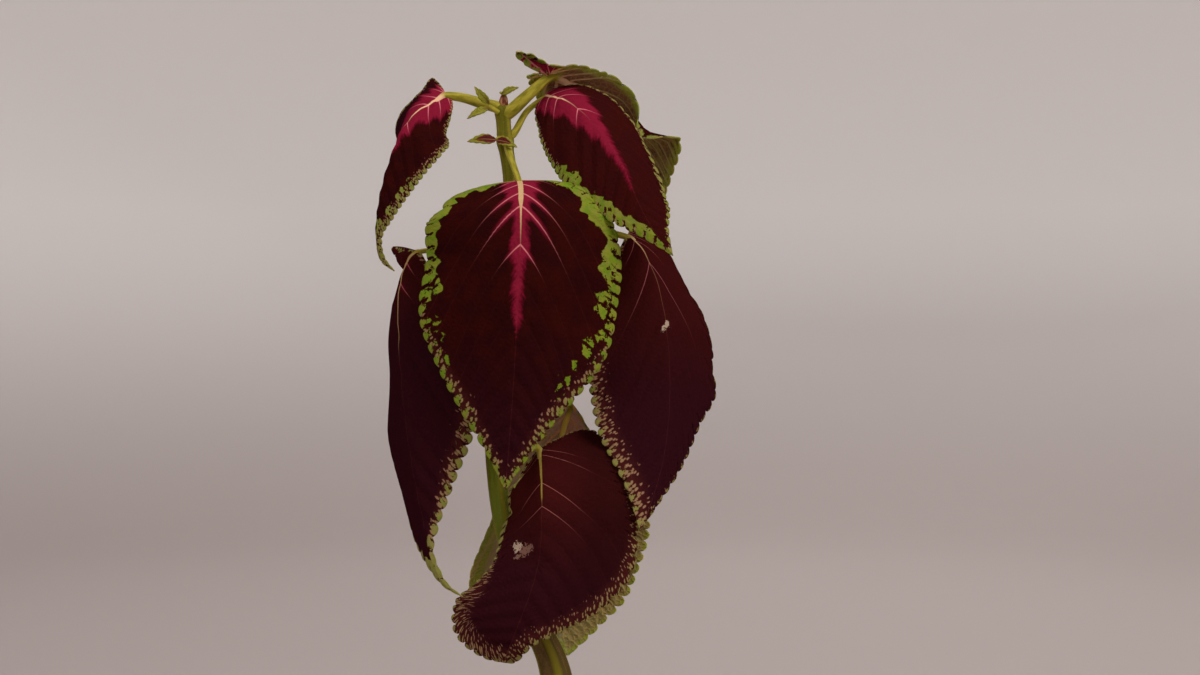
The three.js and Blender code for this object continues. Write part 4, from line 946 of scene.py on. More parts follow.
def readSide(leaf, side, form, sign, count):  # corners and values of one side of the blade
    flat, smooth = crenateSide(leaf, side, form.length)
    x, y = flat[..., 0], flat[..., 1]
    share, outward = x / form.length, y / side["half"]
    margin, place = marginReading(flat, smooth)
    lean, starts = (leaf.get(key, bladeForm[key]) for key in ("veinLean", "veinStarts"))
    number, gap, start = veinReading(x, y, form.length, sign, lean, np.array(starts))
    reach = keyed(leaf["veins"], start)
    offVein = np.abs(number - np.round(number))
    scar, brown = np.zeros_like(x), np.zeros_like(x)
    for along, across, radius, tone in leaf.get("scars", []):
        one = 1 - 0.5 * np.hypot(x - along, y * sign - across) / radius
        brown = np.where(one > scar, tone, brown)
        scar = np.maximum(scar, one)
    values = {
        "margin": margin,
        "crenation": place * leaf["teeth"] + count * 100 + (50 if sign > 0 else 0),
        "pitch": np.full_like(x, np.linalg.norm(np.diff(smooth, axis=0), axis=1).sum() / leaf["teeth"]),
        "share": share,
        "along": x + 200 * count,
        "across": y * sign,
        "veinNumber": number,
        "veinGap": gap,
        "veinNear": np.clip(1 - y / np.maximum(reach, 0.5), 0, 1) * smoothStep(2, 6, reach),
        "scar": scar,
        "scarBrown": brown,
    }
    for marks, where in ((marginMarks, place), (midribMarks, share)):
        for key, usual in marks.items():
            values[key] = keyed(side.get(key, leaf.get(key, usual)), where)
    # the painted shade is kept off the midrib and grows towards the margin
    values["deep"] *= smoothStep(0.1, 0.6, outward)
    values["violet"] *= smoothStep(0, 0.3, outward)
    alongVeins = 2.4 * (0.6 - 2 * offVein)  # pink runs out along the veins
    values["pink"] += alongVeins * smoothStep(1, 4, values["pink"]) - y
    middle, normal = form.surface(x, y, sign), form.normal(x, y, sign)
    onMidrib = form.frames(share)[2]  # both sides share one normal there
    blend = smoothStep(0, 1.6, y)[..., None]
    normal = unit(onMidrib * (1 - blend) + normal * blend)
    apart = offVein * gap
    inside = smoothStep(0, 7, margin) * smoothStep(-0.02, 0.1, share)
    pillow = bladeForm["quilting"] * (smoothStep(0, 3.2, apart) - 0.6) * inside
    groove = bladeForm["grooveDepth"] * np.exp(-((y / 1.3) ** 2)) * inside
    droop = bladeForm["edgeDroop"] * (1 - smoothStep(0, 3, margin))
    pit = 0
    if "dimple" in leaf:  # where the blade is drawn in round the stalk
        dx, dy = x - leaf["dimple"][0], y * sign - leaf["dimple"][1]
        away = np.hypot(dx, dy)
        pit = np.exp(-((away / 5.5) ** 2)) * (1.0 + 0.35 * np.sin(7 * np.arctan2(dy, dx)))
    relief = pillow - groove - droop - pit
    rib = bladeForm["ribDepth"] * (1 - 0.75 * np.clip(share, 0, 1)) * np.exp(-((y / 1.2) ** 2))
    cord = bladeForm["cordDepth"] * np.exp(-((apart / 0.8) ** 2)) * inside
    half = bladeForm["thickness"] / 2
    upper = middle + normal * (relief + half)[..., None]
    lower = middle + normal * (relief - half - rib - cord)[..., None]
    return upper, lower, values


def growBlade(leaf, count):  # corners, faces, their finishes and values of a whole blade
    form = Blade(leaf)
    left = readSide(leaf, leaf["left"], form, -1, count)
    right = readSide(leaf, leaf["right"], form, 1, count)
    join = lambda a, b: np.concatenate([a[:, :0:-1], b], axis=1)  # left margin, midrib, right margin
    upper, lower = join(left[0], right[0]), join(left[1], right[1])
    values = {key: join(left[2][key], right[2][key]) for key in left[2]}
    middleColumn = bladeForm["columns"]
    values["across"][:, middleColumn] = 0
    rows, width = upper.shape[:2]
    rim = (upper + lower) / 2
    outward = unit(rim[:, [0, -1]] - rim[:, [1, -2]])
    rim = rim[:, [0, -1]] + outward * bladeForm["rimWidth"]

    def flatten(block, column):  # the first and the last row are each one corner
        between = block[1:-1].reshape(-1, *block.shape[2:])
        return np.concatenate([block[:1, column], between, block[-1:, column]])

    def corner(i, j, width):  # number of a place in a flattened block
        return 0 if i == 0 else (rows - 2) * width + 1 if i == rows - 1 else 1 + (i - 1) * width + j

    shell = (rows - 2) * width + 2
    corners = np.vstack([flatten(upper, middleColumn), flatten(lower, middleColumn), flatten(rim, 0)])
    merged = {}
    for key, block in values.items():
        face = flatten(block, middleColumn)
        merged[key] = np.concatenate([face, face, flatten(block[:, [0, -1]], 0)])
    top = lambda i, j: corner(i, j, width)
    edge = lambda i, k: 2 * shell + corner(i, k, 2)
    faces, slots = [], []
    turnedLobe = values["share"] < leaf.get("turnedLobe", -1)  # part of the left side, upper face outwards
    for i in range(rows - 1):
        for j in range(width - 1):
            face = list(dict.fromkeys([top(i, j), top(i + 1, j), top(i + 1, j + 1), top(i, j + 1)]))
            faces += [face, [shell + n for n in reversed(face)]]
            slots += [0, 0 if j < middleColumn and turnedLobe[i, j] else 1]
        for k, j in ((0, 0), (1, width - 1)):
            for offset, slot in ((0, 0), (shell, 1)):
                ring = [top(i, j) + offset, top(i + 1, j) + offset, edge(i + 1, k), edge(i, k)]
                if (k == 0) == (slot == 0):
                    ring.reverse()
                faces.append(list(dict.fromkeys(ring)))
                slots.append(slot)
    return corners, faces, slots, merged


def stemCentre(height):
    line = stem["line"][::-1]
    return [np.interp(height, [point[2] for point in line], [point[0] for point in line]), 0, height]


stalk = {
    "radii": [2.3, 2.2, 1.8, 1.35],  # at the stem, just out of it, half way and at the blade
    "rise": 2,  # from the middle of the stem to the first point
    "rings": 70,
    "sides": 20,
}


def growPetiole(leaf):
    form = Blade(leaf)
    sunk, depth, thin = zip(*leaf.get("keel", bladeForm["keel"]))
    point, _, normal, _ = form.frames(np.array(sunk))
    depth = np.array(depth)[:, None]
    root = stemCentre(leaf["petiole"][0][2] - stalk["rise"])
    path = Path([root, *leaf["petiole"], *(point - normal * depth)])
    joined = Path([root, *leaf["petiole"], *(point - normal * depth)[:2]]).length / path.length
    girth = leaf.get("stalk", 1) * np.array([*stalk["radii"], thin[-1]])
    radius = lambda share: np.interp(share, [0, 0.1, joined * 0.55, joined, 1], girth)
    rings, sides = stalk["rings"], stalk["sides"]
    corners, faces = sweep(path, rings, roundSection(sides, radius))
    share = np.repeat(np.linspace(0, 1, rings + 1), sides)
    turn = np.tile(np.arange(sides), rings + 1) / sides
    values = {
        "height": np.append(share * path.length, [0, 0]),
        "turn": np.append(np.abs(turn - 0.5) * 2, [0, 0]),
        "joined": np.append(smoothStep(joined * 0.9, joined * 1.03, share), [0, 1]),
        "ribGreen": np.full(len(corners), leaf.get("ribGreen", 0)),
        # how much of that painted light this stalk takes
        "underLight": np.full(len(corners), leaf.get("paintedStalkGlow", 0)),
    }
    return corners, faces, [2] * len(faces), values


def joinMeshes(parts):  # each part is corners, faces, slots and values; the values that it lacks are 0
    corners, faces, slots, values = [], [], [], {key: [] for part in parts for key in part[3]}
    base = 0
    for spots, rings, coats, held in parts:
        corners.append(spots)
        faces += [[n + base for n in ring] for ring in rings]
        slots += coats
        for key in values:
            values[key].append(held.get(key, np.zeros(len(spots))))
        base += len(spots)
    return np.vstack(corners), faces, slots, {key: np.concatenate(value) for key, value in values.items()}


def buildLeaves(finishes):
    for count, (node, leaf) in enumerate(leaves.items()):
        piece = meshPiece("fine_" + node, finishes, *joinMeshes([growBlade(leaf, count), growPetiole(leaf)]))
        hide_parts(node)
        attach(piece, "root")
    print("leaves:", len(leaves))


# stem
stem = {
    "line": [
        [-23.8, 0, 366], [-24, 0, 360], [-23, 0, 347], [-20.8, 0, 331], [-21.5, 0, 306], [-24, 0, 276],
        [-26.5, 0, 251], [-28, 0, 226], [-27, 0, 209], [-24, 0, 188], [-18.5, 0, 167], [-11, 0, 146],
        [-4, 0, 131], [-1, 0, 119], [0, 0, 104], [0, 0, 72], [0, 0, 40],
    ],
    "halfWidth": [
        [95, 6.2], [123, 5.9], [140, 4.9], [167, 3.9], [226, 3.3], [306, 3.1], [347, 2.9], [359, 3],
        [361.5, 2.4], [363, 1.2], [366, 0.6],
    ],
    "nodes": [361, 347.5, 299, 237, 112],  # heights of the joints
    "swell": 0.7,  # how far a joint stands out
    "reach": 3,  # above and below it
    "lineDepth": 0.35,  # of the line round a joint
    "lineRise": 2.2,
    "lineReach": 0.5,
    "twist": 40,  # degrees over the whole length
    "corner": 0.16,  # how far the corners stand out, as a share of the radius
    "groove": 0.03,
    "rings": 360,
    "sides": 56,
}


def buildStem(finish):
    rings, sides = stem["rings"], stem["sides"]
    angle = np.linspace(0, 2 * np.pi, sides, endpoint=False)
    square = 0.5 - 0.5 * np.cos(4 * angle)  # 1 on the corners, 0 between them

    def section(share, centres):
        z = centres[:, 2]
        half = keyed(stem["halfWidth"], z)
        for height in stem["nodes"]:
            half = half + stem["swell"] * np.exp(-(((z - height) / stem["reach"]) ** 2))
            fromLine = (z - height - stem["lineRise"]) / stem["lineReach"]
            half = half - stem["lineDepth"] * np.exp(-(fromLine**2))
        groove = stem["groove"] * np.cos(8 * angle)
        radius = half[:, None] * (1 + stem["corner"] * square[None] ** 1.3 - groove[None])
        turned = angle[None] + math.radians(stem["twist"]) * share[:, None]
        return np.stack([radius * np.cos(turned), radius * np.sin(turned)], axis=-1)

    towardsX = lambda along: unit(np.array([1.0, 0, 0]) - along * along[:, :1])
    corners, faces = sweep(Path(stem["line"]), rings, section, towardsX)
    values = {
        "height": corners[:, 2],
        "ridge": np.append(np.tile(square, rings + 1), [0.5, 0.5]),
        "turn": np.append(np.tile(4 * np.abs(np.arange(sides) / sides - 0.5), rings + 1), [0, 0]),
    }
    piece = meshPiece("fine_stem", [finish], corners, faces, None, values)
    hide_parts("stem")
    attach(piece, "root")
    print("stem done")
    return piece


# tip and side shoots
shoots = {
    "shoot_tip": {
        "heart": 0.7,  # how much of a leaflet is red
        "bud": {"foot": [-23.8, -0.4, 362.5], "top": [-23.5, -0.6, 367.4], "radius": 2.1},
        "leaflets": [
            {"base": [-24.6, -1.6, 366.8], "tip": [-17.2, -2, 369.8], "half": 1.6, "facing": [-0.2, -1, 0.3]},
            {"base": [-24, 0.6, 367], "tip": [-24.5, 5.5, 368.5], "half": 1.5, "facing": [0, 0.4, 0.9]},
        ],
    },
    "side_shoot_left": {
        "heart": 0.7,
        "bud": {"foot": [-27, -3.8, 360], "top": [-29.8, -5, 361.8], "radius": 1.1},
        "leaflets": [
            {"base": [-29.3, -4.6, 362.4], "tip": [-35.6, -6, 369.6], "half": 1.9, "facing": [-0.3, -1, 0.1]},
            {"base": [-29.8, -4.6, 360.6], "tip": [-38.5, -6.5, 356], "half": 1.8, "facing": [-0.2, -1, 0.3]},
        ],
    },
    "side_shoot_front": {
        "heart": 3.0,
        "bud": {"foot": [-24.5, -4.6, 348], "top": [-26.3, -9.4, 347.2], "radius": 1.2},
        "leaflets": [
            {"base": [-26.1, -9.4, 346.8], "tip": [-38, -12, 345.8], "half": 2.4, "facing": [0, -1, 0.3]},
            {"base": [-26.1, -9.4, 346.8], "tip": [-17.2, -12.6, 343.4], "half": 2.2,
             "facing": [0.1, -1, 0.3]},
        ],
    },
}


def youngLeafFinish():
    f = Finish("youngLeaf")
    across = f.grown("across")
    fray = f.noise(f.place(), 1500.0, 2.0) - 0.5
    heart = (f.grown("heart") + fray * 0.5).rises(0.3, 0.6)
    base = f.mix((fray + 0.5).rises(0.3, 0.7), (106, 108, 22), (146, 140, 46))
    base = f.mix(heart, base, f.mix((fray + 0.5).rises(0.35, 0.65), (66, 14, 12), (98, 24, 24)))
    rib = (0.18 - across.size()).rises(-0.08, 0.1)
    base = f.mix(rib * 0.5, base, (168, 150, 84))
    return f.finish(base, 0.6 + fray * 0.1, f.bump(fray, 0.1 * mm), 0.1)


def budFinish():
    f = Finish("tipBud")
    height, turn = f.grown("height"), f.grown("turn")
    streak = f.noise(f.at(turn * 5.0, height * 0.3), 1.0, 3.0)
    base = f.mix(streak.rises(0.4, 0.6), (96, 44, 30), (170, 122, 84))
    return f.finish(base, 0.6 + streak * 0.1, f.bump(streak, 0.2 * mm), 0.1)


leaflet = {
    "fold": -18,
    "curl": 12,
    "outline": [[0, 0], [0.1, 0.55], [0.35, 1], [0.65, 0.75], [0.88, 0.3], [1, 0]],
    "arch": 0.12,  # of the midrib, as a share of its length
    "teeth": 5,
    "notch": 0.12,  # as a share of half the width
    "pillow": 0.12,
    "rows": 40,
    "columns": 6,
}


def leafletForm(spec):  # the keys that a Blade reads
    base, tip = np.array(spec["base"], float), np.array(spec["tip"], float)
    arch = leaflet["arch"] * np.linalg.norm(tip - base)
    middle = (base + tip) / 2 + np.array(spec["facing"]) * arch
    side = {**leaflet, "half": spec["half"]}
    line, facing = [base, middle, tip], [[0, spec["facing"]]]
    return {"ruffle": [0, 1], "midrib": line, "facing": facing, "left": side, "right": side}


def growLeaflet(spec, heart):
    leaf = leafletForm(spec)
    form = Blade(leaf)
    outline = Path([(a * form.length, c * spec["half"]) for a, c in leaflet["outline"]])
    rows, columns, half = leaflet["rows"], leaflet["columns"], bladeForm["thickness"] / 2
    u = np.linspace(0, 1, rows + 1)
    edge = outline.at(u)
    notch = np.abs(np.cos(np.pi * u * leaflet["teeth"])) ** 4 * (u < 0.9)
    notch = leaflet["notch"] * spec["half"] * notch
    edge[:, 1] = np.maximum(edge[:, 1] - notch, 0)
    v = np.linspace(-1, 1, 2 * columns + 1)
    root = rowRoots(u, form.length)
    out = np.abs(v)
    x = root[:, None, 0] * (1 - out) + edge[:, None, 0] * out
    y = edge[:, None, 1] * out
    onLeft = (v < 0)[None, :, None]
    middle = np.where(onLeft, form.surface(x, y, -1), form.surface(x, y, 1))
    normal = np.where(onLeft, form.normal(x, y, -1), form.normal(x, y, 1))
    pillow = leaflet["pillow"] * np.sin(np.pi * out)[None] * np.sin(np.pi * u)[:, None]
    upper = middle + normal * (pillow + half)[..., None]
    lower = middle + normal * (pillow - half)[..., None]
    for sheet in (upper, lower):
        sheet[0], sheet[-1] = sheet[0, columns], sheet[-1, columns]
    width = 2 * columns + 1
    shell = (rows + 1) * width
    spot = lambda i, j: i * width + j
    faces = []
    for i in range(rows):
        for j in range(width - 1):
            ring = [spot(i, j), spot(i, j + 1), spot(i + 1, j + 1), spot(i + 1, j)]
            faces += [ring, [shell + n for n in reversed(ring)]]
        for j in (0, width - 1):
            ring = [spot(i, j), spot(i + 1, j), shell + spot(i + 1, j), shell + spot(i, j)]
            if j:
                ring.reverse()
            faces.append(ring)
    corners = np.vstack([upper.reshape(-1, 3), lower.reshape(-1, 3)])
    inner = (1 - out)[None] * np.clip(1.4 - 1.4 * u, 0, 1)[:, None] * heart
    values = {"across": np.tile((y * np.sign(v)[None]).ravel(), 2), "heart": np.tile(inner.ravel(), 2)}
    return corners, faces, [0] * len(faces), values


def closeMesh(piece):  # one corner where several meet, faces outwards
    shape = bmesh.new()
    shape.from_mesh(piece.data)
    bmesh.ops.remove_doubles(shape, verts=shape.verts, dist=2e-6)
    bmesh.ops.dissolve_degenerate(shape, edges=shape.edges, dist=1e-6)
    bmesh.ops.recalc_face_normals(shape, faces=shape.faces)
    shape.to_mesh(piece.data)
    shape.free()
    piece.data.update()


def buildShoots(leafletFinish, tipCoat, stalkCoat):
    sides = 16
    for node, shoot in shoots.items():
        bud = shoot["bud"]
        foot, top = np.array(bud["foot"], float), np.array(bud["top"], float)
        foot = foot - 0.5 * (top - foot)  # it starts inside the stem
        radius = lambda share: bud["radius"] * np.sqrt(1.02 - share**3)
        corners, faces = sweep(Path([foot, (foot + top) / 2, top]), sides, roundSection(sides, radius))
        turn = np.tile(np.arange(sides) / sides, sides + 2)[:len(corners)]
        values = {"height": np.linspace(0, 5, len(corners)), "turn": turn}
        leaflets = [growLeaflet(spec, shoot["heart"]) for spec in shoot["leaflets"]]
        parts = [(corners, faces, [1] * len(faces), values), *leaflets]
        coat = tipCoat if node == "shoot_tip" else stalkCoat
        piece = meshPiece("fine_" + node, [leafletFinish, coat], *joinMeshes(parts))
        closeMesh(piece)
        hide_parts(node)
        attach(piece, "root")
    print("shoots:", len(shoots))


# growths: what is scattered over a surface
class Growth(Graph):  # one geometry node tree
    def __init__(self, name):
        self.group = bpy.data.node_groups.new(name, "GeometryNodeTree")
        super().__init__(self.group)
        self.asked = {}
        self.group.interface.new_socket("Geometry", in_out="INPUT", socket_type="NodeSocketGeometry")
        self.group.interface.new_socket("Geometry", in_out="OUTPUT", socket_type="NodeSocketGeometry")
        self.entry = self.tree.nodes.new("NodeGroupInput")

    def ask(self, name, kind, value):  # a named input
        socket = self.group.interface.new_socket(name, in_out="INPUT", socket_type="NodeSocket" + kind)
        self.asked[socket.identifier] = value
        return Wire(self, self.entry.outputs[name])

    def base(self):
        return Wire(self, self.entry.outputs["Geometry"])

    def give(self, geometry):
        self.node("NodeGroupOutput", sockets={0: geometry})

    def scatter(self, density, seed, **others):  # points on the carrier
        sockets = {"Mesh": self.base(), "Density": density, "Seed": seed, **others}
        return self.node("GeometryNodeDistributePointsOnFaces", {"distribute_method": "RANDOM"}, sockets)

    def drawn(self, low, high, seed):  # a random number for each point
        sockets = {2: low, 3: high, "Seed": seed}
        return self.node("FunctionNodeRandomValue", {"data_type": "FLOAT"}, sockets, 1)

    def drawnVector(self, low, high, seed):
        sockets = {0: low, 1: high, "Seed": seed}
        return self.node("FunctionNodeRandomValue", {"data_type": "FLOAT_VECTOR"}, sockets)

    def turned(self, angles):
        return self.node("FunctionNodeEulerToRotation", sockets={0: angles})

    def plant(self, points, shape, rotation, scale, coat):  # real copies of a shape in one finish
        placed = self.node("GeometryNodeInstanceOnPoints", sockets={
            "Points": points, "Instance": shape, "Rotation": rotation, "Scale": scale})
        real = self.node("GeometryNodeRealizeInstances", sockets={0: placed})
        return self.node("GeometryNodeSetMaterial", sockets={"Geometry": real, "Material": coat})

    def growOn(self, carrier, name):  # a plain mesh of what this tree grows on the carrier
        modifier = carrier.modifiers.new(name, "NODES")
        modifier.node_group = self.group
        for identifier, value in self.asked.items():
            modifier[identifier] = value
        mesh = evaluatedMesh(carrier)
        carrier.modifiers.remove(modifier)
        return newObject(name, mesh)


hairs = {
    "perSquareMetre": 420000.0,
    "length": 0.75 * mm,
    "thickness": 0.035 * mm,
    "lean": 0.5,  # radians to either side
    "turn": 6.2,  # radians about its own length
    "scale": [0.5, 1.3],
    "seed": 11,
}


def buildHairs(carrier, finish):
    g = Growth("stemHairs")
    density = g.ask("Hairs per area", "Float", hairs["perSquareMetre"])
    length = g.ask("Length", "Float", hairs["length"])
    thick = g.ask("Thickness", "Float", hairs["thickness"])
    lean = g.ask("Lean", "Float", hairs["lean"])
    seed = g.ask("Seed", "Int", hairs["seed"])
    coat = g.ask("Finish", "Material", finish)
    points = g.scatter(density, seed)
    strand = g.node("GeometryNodeMeshCone", sockets={
        "Vertices": 3, "Side Segments": 1, "Radius Top": 0.0, "Radius Bottom": thick, "Depth": length})
    low, high = lean * -1.0, lean
    least = g.node("ShaderNodeCombineXYZ", sockets={0: low, 1: low})
    most = g.node("ShaderNodeCombineXYZ", sockets={0: high, 1: high, 2: hairs["turn"]})
    tilt = g.turned(g.drawnVector(least, most, seed))
    outward = points.other("Rotation")
    leant = g.node("FunctionNodeRotateRotation", {"rotation_space": "LOCAL"}, {0: outward, 1: tilt})
    g.give(g.plant(points, strand, leant, g.drawn(*hairs["scale"], seed), coat))
    piece = g.growOn(carrier, "stem_hairs")
    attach(piece, "root")
    print("hairs:", len(piece.data.polygons) // 4)


# pot
pot = {
    "height": 105,
    "topRadius": 60,
    "footRadius": 42.5,
    "wall": 1.6,
    "floor": 2.4,
    "rimHeight": 14,
    "rimStep": 2.2,  # how far the rim stands out
    "drains": 4,
    "drainRadius": 4,
    "drainRing": 24,  # radius of the circle on which they lie
    "drainSides": 32,
    "sides": 192,
    "sharpFrom": 50,  # degrees
}


def potRadius(z):
    return pot["footRadius"] + (pot["topRadius"] - pot["rimStep"] - pot["footRadius"]) * z / pot["height"]


def spin(profile, sides):  # rings of corners
    angle = np.linspace(0, 2 * np.pi, sides, endpoint=False)
    return [[r * math.cos(a), r * math.sin(a), z] for r, z in profile for a in angle]


def revolve(profile, sides):  # closed: the profile starts and ends on the axis
    corners = [[0, 0, profile[0][1]], *spin(profile[1:-1], sides), [0, 0, profile[-1][1]]]
    faces, rings = [], len(profile) - 2
    ring = lambda i, j: 1 + i * sides + j % sides
    for j in range(sides):
        faces.append((0, ring(0, j + 1), ring(0, j)))
        faces.append((len(corners) - 1, ring(rings - 1, j), ring(rings - 1, j + 1)))
        for i in range(rings - 1):
            faces.append((ring(i, j), ring(i, j + 1), ring(i + 1, j + 1), ring(i + 1, j)))
    return corners, faces


def potProfile():
    height, lip = pot["height"], pot["height"] - pot["rimHeight"]
    foot, top, floor = pot["footRadius"], pot["topRadius"], pot["floor"]
    inside = lambda z: potRadius(z) - pot["wall"]
    under = [(0, 0.6), (foot - 5, 0.6), (foot - 4, 0), (foot - 1, 0), (foot, 0.9)]
    outside = [(potRadius(z), z) for z in (4, 20, 40, 60, 80, lip - 2.5)]
    step = [(potRadius(lip) + 0.25, lip - 0.7), (top - 1.6, lip - 0.1), (top - 0.5, lip + 0.25)]
    rim = [(top - 0.1, lip + 1), (top, lip + 2), (top, height - 2.6), (top - 0.15, height - 1.1)]
    edge = [(top - 0.7, height - 0.3), (top - 1.5, height), (top - 2.6, height - 0.1)]
    hollow = [(inside(height) + 0.4, height - 0.6)]
    hollow += [(inside(z), z) for z in (height - 2, lip, 60, 30, floor)]
    return [*under, *outside, *step, *rim, *edge, *hollow, (0, floor)]


def potFinish():
    f = Finish("mouldedPot")
    where = f.place()
    grain = f.noise(where, 2600.0, 2.0)
    cloud = f.noise(where, 22.0, 4.0, 0.6)
    height = f.split(where).other("Z")
    rings = (height * 2400.0).calc("SINE") * 0.5 + 0.5  # faint marks of the mould
    base = f.mix(cloud.rises(0.35, 0.7), (128, 74, 52), (112, 62, 44))
    dust = (1 - height.rises(0.0, 0.03)) * cloud.rises(0.45, 0.7)
    base = f.mix(dust * 0.5, base, (150, 124, 102))
    roughness = 0.46 + cloud * 0.14 + dust * 0.2
    return f.finish(base, roughness, f.bump(grain * 0.6 + rings * 0.25, 0.08 * mm), 0.45)


def buildPot(finish):
    corners, faces = revolve(potProfile(), pot["sides"])
    piece = meshPiece("nursery_pot", [finish], corners, faces)
    closeMesh(piece)
    ring, radius, low, high = pot["drainRing"], pot["drainRadius"], -1, pot["floor"] + 1
    for i in range(pot["drains"]):
        angle = 2 * math.pi * (i + 0.5) / pot["drains"]
        corners, faces = revolve([(0, low), (radius, low), (radius, high), (0, high)], pot["drainSides"])
        shifted = np.array(corners) + [ring * math.cos(angle), ring * math.sin(angle), 0]
        drill = meshPiece("drill", [finish], shifted, faces)
        closeMesh(drill)
        cut = piece.modifiers.new("drain", "BOOLEAN")
        cut.operation, cut.object, cut.solver = "DIFFERENCE", drill, "EXACT"
        mesh = evaluatedMesh(piece)
        piece.modifiers.remove(cut)
        piece.data = mesh
        bpy.data.objects.remove(drill)
    piece.data.shade_smooth()
    piece.data.set_sharp_from_angle(angle=math.radians(pot["sharpFrom"]))
    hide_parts("pot")
    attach(piece, "root")
    print("pot done")


# soil
soil = {
    "top": 95,
    "clearance": 0.3,  # to the pot's wall and floor
    "sides": 120,
    "rings": 34,
    "seed": 5,
    "level": 0.5,  # crumbs lie on faces whose normal points up by more than this
    "turn": [(0.0, 0.0, 0.0), (6.28, 6.28, 6.28)],  # least and greatest, in radians
}

# What lies on the soil: how many to a square metre, the least and greatest size, the least and greatest
# stretch of the shape, the shape, and the finish with its dark and light colour and roughness.
layers = {
    "Crumbs": {
        "perArea": 520000.0, "size": [0.55 * mm, 1.9 * mm], "stretch": [(0.6, 0.6, 0.5), (1.3, 1.2, 1.0)],
        "shape": ["GeometryNodeMeshIcoSphere", {"Radius": 0.5, "Subdivisions": 1}],
        "finish": ["pottingSoil", (30, 21, 15), (62, 45, 32), 0.85],
    },
    "Chips": {
        "perArea": 13000.0, "size": [1.2 * mm, 3.2 * mm], "stretch": [(0.7, 0.3, 0.12), (1.6, 0.7, 0.3)],
        "shape": ["GeometryNodeMeshCube", {"Size": (1.0, 1.0, 1.0)}],
        "finish": ["barkChip", (58, 36, 22), (98, 66, 42), 0.8],
    },
    "Perlite": {
        "perArea": 9000.0, "size": [0.7 * mm, 1.5 * mm], "stretch": [(0.7, 0.7, 0.7), (1.2, 1.2, 1.1)],
        "shape": ["GeometryNodeMeshIcoSphere", {"Radius": 0.5, "Subdivisions": 2}],
        "finish": ["perlite", (196, 190, 178), (226, 222, 212), 0.8],
    },
}


def soilBed(finish):
    low, shoulder = pot["floor"] + soil["clearance"], soil["top"] - 3
    sides, rings = soil["sides"], soil["rings"]
    inside = lambda z: potRadius(z) - pot["wall"] - soil["clearance"]
    outer = inside(shoulder)
    wall = [(inside(z), z) for z in (low, 30, 60, 88, shoulder)]
    surface = [(outer * (1 - i / rings), 0) for i in range(1, rings)]
    corners, faces = revolve([(0, low), *wall, *surface, (0, soil["top"] - 0.5)], sides)
    for i, spot in enumerate(corners[1 + len(wall) * sides:-1]):
        x, y = spot[:2]
        r = surface[i // sides][0]
        lumps = 0.9 * math.sin(x * 0.31 + 1) * math.cos(y * 0.27) + 0.5 * math.sin(x * 0.83 + y * 0.71)
        lumps += 0.35 * math.sin(x * 1.9 - y * 1.3) * math.cos(y * 2.1 + x * 0.6)
        drop = 2.2 * (r / outer) ** 6  # towards the wall
        heap = 0.9 * math.exp(-((r / 12) ** 2))  # round the stem
        spot[2] = soil["top"] - 1.6 + lumps * 0.7 - drop + heap
    return meshPiece("soil_bed", [finish], corners, faces)


def soilFinish(name, dark, light, rough):
    f = Finish(name)
    where = f.place()
    tone = f.noise(where, 700.0, 3.0, 0.65)
    patch = f.noise(where, 60.0, 2.0)
    base = f.mix((tone * 0.7 + patch * 0.3).rises(0.35, 0.65), dark, light)
    return f.finish(base, rough + tone * 0.1, f.bump(tone, 0.5 * mm), 0.25)


def buildSoil():
    finishes = {name: soilFinish(*layer["finish"]) for name, layer in layers.items()}
    bed = soilBed(finishes["Crumbs"])
    g = Growth("soilSurface")
    seed = g.ask("Seed", "Int", soil["seed"])
    upward = g.node("ShaderNodeSeparateXYZ", sockets={0: g.node("GeometryNodeInputNormal")}, output=2)
    comparison = {"data_type": "FLOAT", "operation": "GREATER_THAN"}
    up = g.node("FunctionNodeCompare", comparison, {0: upward, 1: soil["level"]})
    grown = []
    for shift, (name, layer) in enumerate(layers.items()):
        count = g.ask(name + " per area", "Float", layer["perArea"])
        small = g.ask(name + " smallest", "Float", layer["size"][0])
        large = g.ask(name + " largest", "Float", layer["size"][1])
        coat = g.ask(name + " finish", "Material", finishes[name])
        own = seed + shift
        points = g.scatter(count, own, Selection=up)
        turn = g.turned(g.drawnVector(*soil["turn"], own))
        size = g.drawn(small, large, own)
        stretch = g.drawnVector(*layer["stretch"], own)
        scale = g.node("ShaderNodeVectorMath", {"operation": "SCALE"}, {0: stretch, "Scale": size})
        kind, form = layer["shape"]
        grown.append(g.plant(points, g.node(kind, sockets=form), turn, scale, coat))

    join = g.tree.nodes.new("GeometryNodeJoinGeometry")
    for part in [*reversed(grown), g.base()]:
        g.tree.links.new(part.socket, join.inputs[0])
    g.give(Wire(g, join.outputs[0]))
    piece = g.growOn(bed, "potting_soil")
    bpy.data.objects.remove(bed)
    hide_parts("soil")
    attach(piece, "root")
    print("soil faces:", len(piece.data.polygons))


# studio
studio = {
    "cameraPlace": (0.0168, -0.65, 0.265),
    "lens": 46.4,
    "sensor": 36,
    "coveRadius": 2.3,
    "coveHeight": 2.4,
    "coveBend": 0.9,
    "bendSteps": 12,
    "sides": 96,
    "aim": (0, 0, 0.26),  # what the lamps point at
    "sky": (0.9, 0.9, 0.92, 1),
    "skyStrength": 0.7,
}

# place, width, watts and colour
lamps = {
    "keyLight": [(0.9, -0.9, 1.35), 0.9, 17, (1.0, 0.97, 0.94)],
    "fillLight": [(-1.3, -1.0, 0.6), 1.2, 5, (0.96, 0.97, 1.0)],
    "backLight": [(0.4, 1.4, 1.2), 1.0, 7, (1.0, 1.0, 1.0)],
}


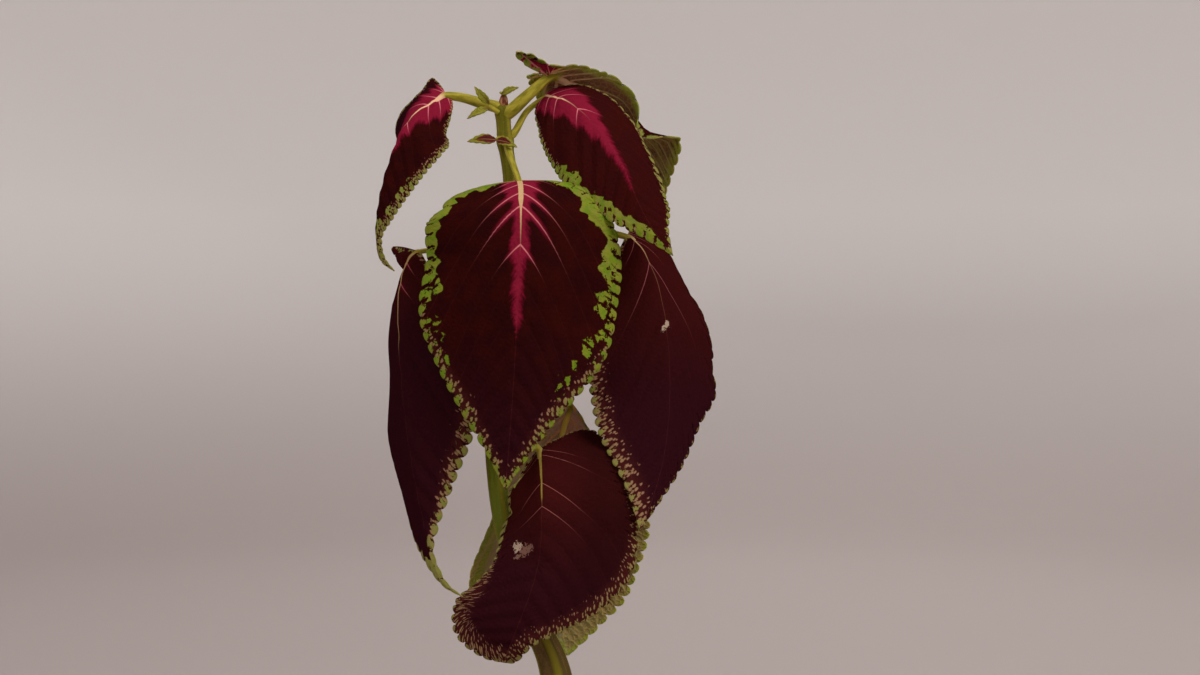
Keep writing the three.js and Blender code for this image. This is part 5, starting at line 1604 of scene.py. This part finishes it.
def coveFinish():
    f = Finish("studioCove")
    where = f.place()
    cloud = f.noise(where, 1.2, 2.0)
    height = f.split(where).other("Z")
    # painted shade: the cove goes from a darker grey on the floor to pale up the wall
    base = f.mix(height.rises(-0.07, 0.55) + cloud * 0.04, (168, 156, 152), (231, 225, 222))
    return f.finish(base, 0.9, f.bump(cloud, 0.1 * mm), 0.1)


def buildStudio():
    radius, height, bend = (studio[key] / mm for key in ("coveRadius", "coveHeight", "coveBend"))
    profile, sides, steps = [(0.5 * radius, 0)], studio["sides"], studio["bendSteps"]
    for i in range(steps + 1):
        a = math.radians(90 * i / steps)
        profile.append((radius - bend + bend * math.sin(a), bend - bend * math.cos(a)))
    profile.append((radius, height))
    corners, faces = [[0, 0, 0], *spin(profile, sides)], []
    ring = lambda i, j: 1 + i * sides + j % sides
    for j in range(sides):
        faces.append((0, ring(0, j), ring(0, j + 1)))
        for i in range(len(profile) - 1):
            faces.append((ring(i, j), ring(i + 1, j), ring(i + 1, j + 1), ring(i, j + 1)))
    meshPiece("studio_cove", [coveFinish()], corners, faces)

    for name, (place, size, watts, tint) in lamps.items():
        light = bpy.data.lights.new(name, "AREA")
        light.shape, light.size, light.energy, light.color = "DISK", size, watts, tint
        lamp = newObject(name, light)
        lamp.location = place
        lamp.rotation_euler = (Vector(studio["aim"]) - Vector(place)).to_track_quat("-Z", "Y").to_euler()
        lamp.visible_camera = False

    world = bpy.data.worlds.new("softSky")
    world.use_nodes = True
    sky = world.node_tree.nodes["Background"]
    sky.inputs[0].default_value = studio["sky"]
    sky.inputs[1].default_value = studio["skyStrength"]
    bpy.context.scene.world = world
    bpy.context.scene.view_settings.view_transform = "Standard"

    camera = bpy.data.cameras.new("camera")
    camera.lens, camera.sensor_width = studio["lens"], studio["sensor"]
    camera.dof.use_dof = False
    viewer = newObject("camera", camera)
    viewer.location = studio["cameraPlace"]
    viewer.rotation_euler = (math.radians(90), 0, 0)
    bpy.context.scene.camera = viewer
    print("studio done")


buildStudio()
petioleCoat = petioleFinish()
buildLeaves([upperLeafFinish(), underLeafFinish(), petioleCoat])
stemPiece = buildStem(stemFinish())
buildHairs(stemPiece, hairFinish())
buildShoots(youngLeafFinish(), budFinish(), petioleCoat)
buildPot(potFinish())
buildSoil()
